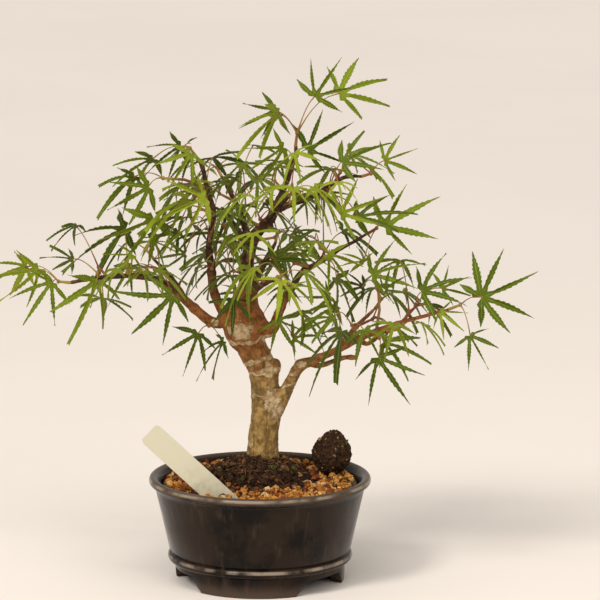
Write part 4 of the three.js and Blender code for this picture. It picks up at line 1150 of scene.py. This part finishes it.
def add_leaf(bm, leaf, dice, tone, layers):
    plan = [(angle + dice.uniform(-5, 5), reach * dice.uniform(0.9, 1.06))
            for angle, reach in lobe_plans[leaf["lobes"]]]
    droop = dice.uniform(0.0, 0.10)
    for i, (angle, reach) in enumerate(plan):
        left = (angle - plan[i - 1][0]) / 2 if i else OUTER_ANGLE
        right = (plan[i + 1][0] - angle) / 2 if i + 1 < len(plan) else OUTER_ANGLE
        habit = {"fullness": dice.uniform(0.056, 0.078), "curve": dice.uniform(-0.07, 0.07),
                 "fold": dice.uniform(0.15, 0.95), "twist": dice.uniform(-1, 1),
                 "droop": droop + dice.uniform(-0.03, 0.05), "tone": tone + dice.uniform(-0.03, 0.03)}
        add_lobe(bm, leaf, angle, reach, left, right, habit, layers)


print("teeth on each edge of a lobe:", (LOBE_STEPS - PALM_STEPS) // 2)


# %% Build a spray: blades first, then stalks and stem
LEAF_THICKNESS = 0.22 * MM


def leaf_tone_with_painted_shade(leaf, dice):
    """Painted light and shade: leaves at the top and the front are lighter, as if lit, and those inside the
    crown are darker, as painted shade; a random spread is added.
    """
    x, y, z = leaf["foot"]
    outer = math.hypot(x / 150, y / 100, (z - 215) / 130)
    # Painted light and shade: the tone rises towards the outside, the top and the front of the crown.
    light = 0.15 + 0.36 * min(outer, 1.2) + 0.12 * (z - 200) / 130 - 0.10 * y / 100
    return min(max(light + dice.uniform(-0.24, 0.26), 0.02), 0.98)


def add_blades(bm, leaves, dice):
    layers = (bm.loops.layers.uv.new("lobe"), bm.verts.layers.float.new("tone"))
    for leaf in leaves:
        add_leaf(bm, leaf, dice, leaf_tone_with_painted_shade(leaf, dice), layers)
    bmesh.ops.remove_doubles(bm, verts=bm.verts[:], dist=2e-6)
    bmesh.ops.dissolve_degenerate(bm, dist=1e-6, edges=bm.edges[:])
    bmesh.ops.solidify(bm, geom=bm.faces[:], thickness=LEAF_THICKNESS)


def add_stalks(bm, stem, leaves, dice):
    stem = [Vector(point) * MM for point in stem]
    radii = [STEM_RADIUS * MM * (1.25 - 0.35 * i / (len(stem) - 1)) for i in range(len(stem))]
    add_tube(bm, stem, radii, 7, 1)
    bud = Matrix.Translation(stem[-1]) @ Matrix.Diagonal((1.3 * MM, 1.3 * MM, 1.5 * MM, 1))
    for vert in bmesh.ops.create_icosphere(bm, subdivisions=2, radius=1.0, matrix=bud)["verts"]:
        for face in vert.link_faces:
            face.material_index = 1
    for leaf in leaves:
        root, foot = Vector(leaf["root"]), Vector(leaf["foot"])
        rise = Vector((dice.uniform(-1, 1), dice.uniform(-1, 1), (foot - root).length * 0.16))
        end = foot + Vector(leaf["along"]) * 1.0
        steps = 8
        path = [root.lerp(end, i / steps) + rise * math.sin(math.pi * i / steps) for i in range(steps + 1)]
        thin = [(0.62 - 0.30 * math.sin(math.pi * min(1.0, i / steps * 0.9))) * MM for i in range(steps + 1)]
        add_tube(bm, [point * MM for point in path], thin, 6, 1)


def build_spray(name, stem, leaves, stands_for, seed):
    dice = random.Random(seed)
    bm = bmesh.new()
    add_blades(bm, leaves, dice)
    add_stalks(bm, stem, leaves, dice)
    return piece_from(name, bm, [leaf_green, young_stem], stands_for, 60)


for number, (name, stem, leaves) in enumerate(settled):
    build_spray(name + "_leaves", stem, leaves, [name], 100 + number)

# %% [markdown]
# ## More leaves inside the crown
# A full crown has far more leaves than the solid model holds. The others hang from short twigs all
# along the limbs, each a pair, and they follow the rule of the first ones, so that they find free room.

# %% Fill the crown
fill_plan = [  # limb, first share, last share, twigs
    ("left_upright", 0.3, 0.85, 4), ("leader", 0.12, 0.7, 8),
    ("right_upper", 0.3, 0.6, 1), ("mid_right", 0.5, 0.8, 2), ("low_right", 0.5, 0.7, 1),
    ("front_high", 0.5, 0.8, 1), ("front_low", 0.5, 0.8, 1), ("back_high", 0.4, 0.9, 2),
    ("back_low", 0.5, 0.9, 1), ("dark_left", 0.5, 1.0, 2)]
WORST_CROWDING = -3.5  # mm that a filling leaf may reach into the room of another
dice = Chance(977)
varied = random.Random(555)
total = 0
for limb_name, first, last, count in fill_plan:
    bm = bmesh.new()
    twigs = []
    for i in range(count):
        share = first + (last - first) * (i + dice.between(0.2, 0.8)) / count
        start = along_limb(limb_name, share)
        turn = dice.between(-200, 20)
        reach = dice.between(6, 16)
        end = start + reach * np.array((*polar(turn), dice.between(0.1, 0.8)))
        remember(start, end, STEM_RADIUS, limb_name + str(i))
        leaves = []
        for side in (-48, 44):
            heading = turn + side + dice.between(-20, 20)
            droop, roll = dice.between(5, 55), dice.between(-40, 40)
            leaf = plain_leaf(end, heading, droop, roll, dice.between(9, 20), dice.between(20, 33))
            leaf, apart = settle(leaf, limb_name + str(i))
            if apart > WORST_CROWDING:
                leaves.append(leaf)
        if leaves:
            twigs.append(([start, end], leaves))
            total += len(leaves)
    add_blades(bm, [leaf for _, leaves in twigs for leaf in leaves], varied)
    for stem, leaves in twigs:
        add_stalks(bm, stem, leaves, varied)
    piece_from(limb_name + "_more_leaves", bm, [leaf_green, young_stem], [], 60)
print("more leaves:", total)

# %% [markdown]
# ## What fills the pot
# Under the tree lie sharp clay grains, ochre and red, and a heap of dark compost round the trunk. We
# cannot model every grain of the fill, so the solids stay as the ground between them, in a dark soil
# finish, and the loose grains that we see lie on top.

# %% Finishes for the solids that stay
repaint("drainage_mesh", mesh_plastic)
repaint("mesh_clip", clip_metal)
repaint("soil_block", packed_soil)
repaint("grit_layer", packed_soil)
GRIT_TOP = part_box("grit_layer")[1][2]
INSIDE = WALL_TOP - WALL - 1.2 * MM
ball_low, ball_high = (Vector(corner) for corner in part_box("fertiliser_ball"))
ball_centre = (ball_low + ball_high) / 2
ball_radius = (ball_high.x - ball_low.x) / 2
MOUND = Vector((-2 * MM, 8 * MM, 0))
MOUND_RADIUS = 35 * MM
MOUND_HEIGHT = 15 * MM
print("grit top", round(GRIT_TOP * 1000, 2), "inside", round(INSIDE * 1000, 1))


# %% Helpers for loose grains
def add_grain(bm, place, size, dice, tone, tone_layer, sharp=0.22):
    """A rough stone: a coarse ball, flattened, turned at random, with every corner moved a little."""
    squash = Vector((dice.uniform(0.75, 1.25), dice.uniform(0.7, 1.1), dice.uniform(0.5, 0.85)))
    turn = Euler([dice.uniform(0, 6.28) for _ in range(3)]).to_matrix().to_4x4()
    matrix = Matrix.Translation(place) @ turn @ Matrix.Diagonal((*(squash * size / 2), 1))
    made = bmesh.ops.create_icosphere(bm, subdivisions=1, radius=1.0, matrix=matrix)["verts"]
    for vert in made:
        vert.co += Vector([dice.uniform(-sharp, sharp) for _ in range(3)]) * size * 0.5
        vert[tone_layer] = tone


def pour(bm, handful):
    """Empty a small bmesh into a large one; a bmesh operator is slow once its mesh is large."""
    carried = bpy.data.meshes.new("handful")
    handful.to_mesh(carried)
    handful.free()
    bm.from_mesh(carried)
    bpy.data.meshes.remove(carried)


HANDFUL = 60


def add_grains(bm, grains, dice):
    """grains are (place, size, tone)."""
    for first in range(0, len(grains), HANDFUL):
        handful = bmesh.new()
        layer = handful.verts.layers.float.new("tone")
        for place, size, tone in grains[first:first + HANDFUL]:
            add_grain(handful, place, size, dice, tone, layer)
        pour(bm, handful)


def disc_point(dice, radius):
    reach, turn = radius * math.sqrt(dice.random()), dice.uniform(0, 2 * math.pi)
    return Vector((reach * math.cos(turn), reach * math.sin(turn), 0))


def heap_height(share):
    """Height of the heap at a share of its radius: a dome with a soft top."""
    return MOUND_HEIGHT * (math.acos(share) / (math.pi / 2)) ** 0.8


def mound_top(point):
    """Height of the compost above the grit at a point, or a negative number outside the heap."""
    share = (point.xy - MOUND.xy).length / MOUND_RADIUS
    return heap_height(share) if share < 1 else -1 * MM


print("grain helpers ready")

# %% Clay grains
dice = random.Random(21)
bm = bmesh.new()
tone_layer = bm.verts.layers.float.new("tone")
grains = []
GRAINS = 1150
for _ in range(GRAINS):
    point = disc_point(dice, INSIDE)
    size = dice.uniform(2.4, 4.8) if dice.random() < 0.82 else dice.uniform(5.0, 7.5)
    tone = min(1.0, max(0.0, dice.gauss(0.54, 0.25)))
    lift = dice.uniform(-0.2, 1.5) * MM
    if mound_top(point) > 5 * MM or (point.xy - ball_centre.xy).length < ball_radius * 0.62:
        continue
    if point.length > INSIDE - size / 2 * MM:
        point = point.normalized() * (INSIDE - size / 2 * MM)
    grains.append((Vector((point.x, point.y, GRIT_TOP + lift)), size * MM, tone))
add_grains(bm, grains, dice)
piece_from("grit_grains", bm, [clay_grains], [], 25)

# %% [markdown]
# ## The compost heap
# The heap round the trunk is dark, crumbly compost with root fibres in it. We turn a soft dome, push its
# surface up and down with noise, and then strew crumbs and fibres over it. Noise alone would look like
# mud, and crumbs alone would leave holes, so we use both.

# %% Compost heap
bm = bmesh.new()
profile = [(0.02 * MM, MOUND_HEIGHT)]
HEAP_STEPS = 30
for i in range(1, HEAP_STEPS + 1):
    share = i / HEAP_STEPS
    profile.append((MOUND_RADIUS * share, heap_height(share)))
profile += [(MOUND_RADIUS * 1.02, -2 * MM), (0.02 * MM, -2 * MM)]
spin_profile(bm, profile, 110)
tone_layer = bm.verts.layers.float.new("tone")
for vert in bm.verts:
    around = math.atan2(vert.co.y, vert.co.x)
    swell = 1 + 0.05 * math.sin(3 * around + 1) + 0.07 * math.sin(2 * around + 2.6)
    rough = noise.fractal(vert.co / MM * 0.22, 0.7, 2.1, 5)
    vert.co = Vector((vert.co.x * swell, vert.co.y * swell, vert.co.z + GRIT_TOP - 0.6 * MM)) + MOUND
    if vert.co.z > GRIT_TOP - 1 * MM:
        vert.co.z += 3.2 * rough * MM
    vert[tone_layer] = 0.25 + 0.35 * noise.noise(vert.co / MM * 0.5)
print("heap faces:", len(bm.faces))

# %% Crumbs and fibres on the heap
dice = random.Random(22)
grains = []
CRUMBS = 1300
for _ in range(CRUMBS):
    point = MOUND + disc_point(dice, MOUND_RADIUS * 1.16)
    if dice.random() < 0.22:
        point += Vector((-11 * MM, -3 * MM, 0))
    size = dice.uniform(1.0, 3.0) if dice.random() < 0.8 else dice.uniform(3.0, 6.5)
    tone = min(1.0, max(0.0, dice.gauss(0.40, 0.26)))
    if point.length > INSIDE - 3 * MM:
        continue
    height = max(mound_top(point), 0.5 * MM)
    grains.append((Vector((point.x, point.y, GRIT_TOP + height + 0.2 * MM)), size * MM, tone))
add_grains(bm, grains, dice)
fibres = bmesh.new()
fibre_tone = fibres.verts.layers.float.new("tone")
FIBRES = 150
for _ in range(FIBRES):
    point = MOUND + disc_point(dice, MOUND_RADIUS * 1.05)
    tone = dice.uniform(0.72, 0.92)
    if point.length > INSIDE - 6 * MM:
        continue
    ahead = Vector((dice.uniform(-1, 1), dice.uniform(-1, 1), dice.uniform(-0.25, 0.35)))
    ahead = ahead.normalized() * dice.uniform(3, 8) * MM
    start = Vector((point.x, point.y, GRIT_TOP + max(mound_top(point), 0) + 1.4 * MM))
    bend = Vector((0, 0, dice.uniform(-0.5, 1.2) * MM))
    made = add_tube(fibres, [start, start + ahead / 2 + bend, start + ahead],
                    [0.22 * MM, 0.28 * MM, 0.15 * MM], 4)
    for vert in made:
        vert[fibre_tone] = tone
pour(bm, fibres)
piece_from("compost_heap", bm, [compost_crumbs], ["compost_mound"], 30)


# %% [markdown]
# ## The fertiliser ball and the moss
# The ball is a cake of pressed seed meal, rolled by hand: a lumpy egg with a blunt peak, studded with
# husks and pale specks. A fine icosphere gives even faces all round, without poles. Moss grows on it and
# on the damp heap, in tufts of short upright shoots, each one a thin tube.

# %% Moss sprig
def moss_sprig(bm, place, count, length, dice, tone_layer):
    for _ in range(count):
        ahead = Vector((dice.uniform(-0.7, 0.7), dice.uniform(-0.7, 0.7), 1)).normalized()
        ahead *= length * dice.uniform(0.5, 1.0)
        side = Vector((dice.uniform(-1, 1), dice.uniform(-1, 1), 0)) * length * 0.12
        stem = [place, place + ahead * 0.5 + side, place + ahead]
        for vert in add_tube(bm, stem, [0.30 * MM, 0.42 * MM, 0.10 * MM], 5):
            vert[tone_layer] = dice.uniform(0.2, 0.9)


print("moss helper ready")

# %% Fertiliser ball
dice = random.Random(23)
bm = bmesh.new()
tone_layer = bm.verts.layers.float.new("tone")
bmesh.ops.create_icosphere(bm, subdivisions=6, radius=1.0)
tall = (ball_high.z - ball_low.z) / 2
peak = Vector((0.16, -0.1, 1)).normalized()


def on_ball(x, y, z):
    """A point of the unit ball, stretched to the cake's own width and height."""
    return Vector((x * ball_radius, y * ball_radius, z * tall))


def drawn_up(unit):
    """The cake was pressed by hand: it is drawn up to a blunt peak and flattened beside it."""
    return 1 + 0.20 * max(0.0, unit.dot(peak) - 0.72) / 0.28 - 0.10 * max(0.0, unit.z - 0.2)


for vert in bm.verts:
    unit = vert.co.normalized()
    shape = 0.98 + 0.075 * noise.noise(unit * 1.6 + Vector((3, 1, 7))) + 0.05 * noise.noise(unit * 4.0)
    crumbs = 0.022 * noise.fractal(unit * 13, 0.7, 2.2, 4) - 0.02 * noise.cell(unit * 9)
    vert.co = ball_centre + on_ball(*unit) * (drawn_up(unit) * shape + crumbs)
    vert[tone_layer] = 0.42 + 0.5 * noise.noise(unit * 6.5) + 0.2 * noise.noise(unit * 19)
grains = []
for _ in range(230):
    unit = Vector([dice.gauss(0, 1) for _ in range(3)]).normalized()
    if unit.z < -0.8:
        continue
    place = ball_centre + on_ball(*unit) * 0.975 * drawn_up(unit)
    tone = dice.uniform(0.1, 0.75) if dice.random() < 0.85 else 1.0
    grains.append((place, dice.uniform(0.9, 2.3) * MM, tone))
grains.append((ball_centre + on_ball(-0.60, -0.45, 0.76), 3.6 * MM, 1.0))
add_grains(bm, grains, dice)
piece_from("fertiliser_cake", bm, [pressed_cake], ["fertiliser_ball"], 35)

# %% Moss on the ball and in five tufts on the heap
bm = bmesh.new()
tone_layer = bm.verts.layers.float.new("tone")
moss_sprig(bm, ball_centre + on_ball(0.72, -0.35, 0.50), 12, 4.2 * MM, dice, tone_layer)
for turn, reach, count in ((-60, 20, 16), (-150, 26, 14), (-105, 30, 12), (40, 24, 14), (-20, 28, 12)):
    place = MOUND + Vector((*polar(turn), 0)) * reach * MM
    for _ in range(3):
        spot = place + disc_point(dice, 4 * MM)
        foot = Vector((spot.x, spot.y, GRIT_TOP + max(mound_top(spot), 0)))
        moss_sprig(bm, foot, count, 2.6 * MM, dice, tone_layer)
piece_from("moss", bm, [moss_green], [], 50)

# %% [markdown]
# ## The plant label
# A nursery label is a flat strip of pale plastic with a point to push into the soil. Ours is blank. One
# grid makes the strip: its lower end is drawn in to the point, its upper corners are rounded a little,
# and a slight bow keeps it from looking ruled. Soil has splashed its lower part.

# %% Plant label
label_low, label_high = (Vector(corner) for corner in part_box("plant_label"))
LABEL_LEAN = math.radians(46.8)
LABEL_LONG = 120 * MM
LABEL_WIDE = 16 * MM
LABEL_THICK = 0.8 * MM
LABEL_POINT = 10 * MM
LABEL_CORNER = 1.5 * MM
bm = bmesh.new()
made = bmesh.ops.create_grid(bm, x_segments=8, y_segments=40, size=0.5)["verts"]
for vert in made:
    across, along = vert.co.x * LABEL_WIDE, vert.co.y * LABEL_LONG
    near_point = max(0.0, -LABEL_LONG / 2 + LABEL_POINT - along) / LABEL_POINT
    near_top = max(0.0, along - LABEL_LONG / 2 + LABEL_CORNER) / LABEL_CORNER
    across *= (1 - near_point) * (1 - 0.16 * near_top ** 2)
    bow = 0.35 * MM * math.cos(along / LABEL_LONG * math.pi)
    bow += 0.1 * MM * noise.noise(Vector((along * 60, 0, 0)))
    vert.co = Vector((across, bow, along))
bmesh.ops.remove_doubles(bm, verts=bm.verts[:], dist=1e-6)
bmesh.ops.solidify(bm, geom=bm.faces[:], thickness=LABEL_THICK)
bmesh.ops.rotate(bm, verts=bm.verts[:], cent=(0, 0, 0), matrix=Matrix.Rotation(-LABEL_LEAN, 3, "Y"))
low = Vector([min(vert.co[axis] for vert in bm.verts) for axis in range(3)])
high = Vector([max(vert.co[axis] for vert in bm.verts) for axis in range(3)])
bmesh.ops.translate(bm, verts=bm.verts[:], vec=(label_low + label_high) / 2 - (low + high) / 2)
label = piece_from("blank_label", bm, [label_material(GRIT_TOP)], ["plant_label"], 35)
rounded = label.modifiers.new("rounded", "BEVEL")
rounded.width = 0.18 * MM
rounded.segments = 2
rounded.limit_method = "ANGLE"
apply_modifiers(label)

# %% [markdown]
# ## Floor
# The plant stands on a plain pale floor, which is not part of it. The floor is large, so that its edge
# stays out of sight, and a faint mottle keeps it from looking painted.

# %% Floor
bm = bmesh.new()
FLOOR_HALF = 15
bmesh.ops.create_grid(bm, x_segments=1, y_segments=1, size=FLOOR_HALF)
floor_mesh = bpy.data.meshes.new("floor")
bm.to_mesh(floor_mesh)
bm.free()
paper, painter, shader, at = new_material("pale_paper", 0.95, 0.1)
mottle = painter.group(blotches, {"Vector": at, "Scale": 2.0}, "Mask")
painter.put(shader.inputs["Base Color"], painter.blend(mottle, (0.865, 0.80, 0.74), (0.88, 0.815, 0.755)))
floor_mesh.materials.append(paper)
floor = bpy.data.objects.new("floor", floor_mesh)
bpy.context.scene.collection.objects.link(floor)
print("floor laid")
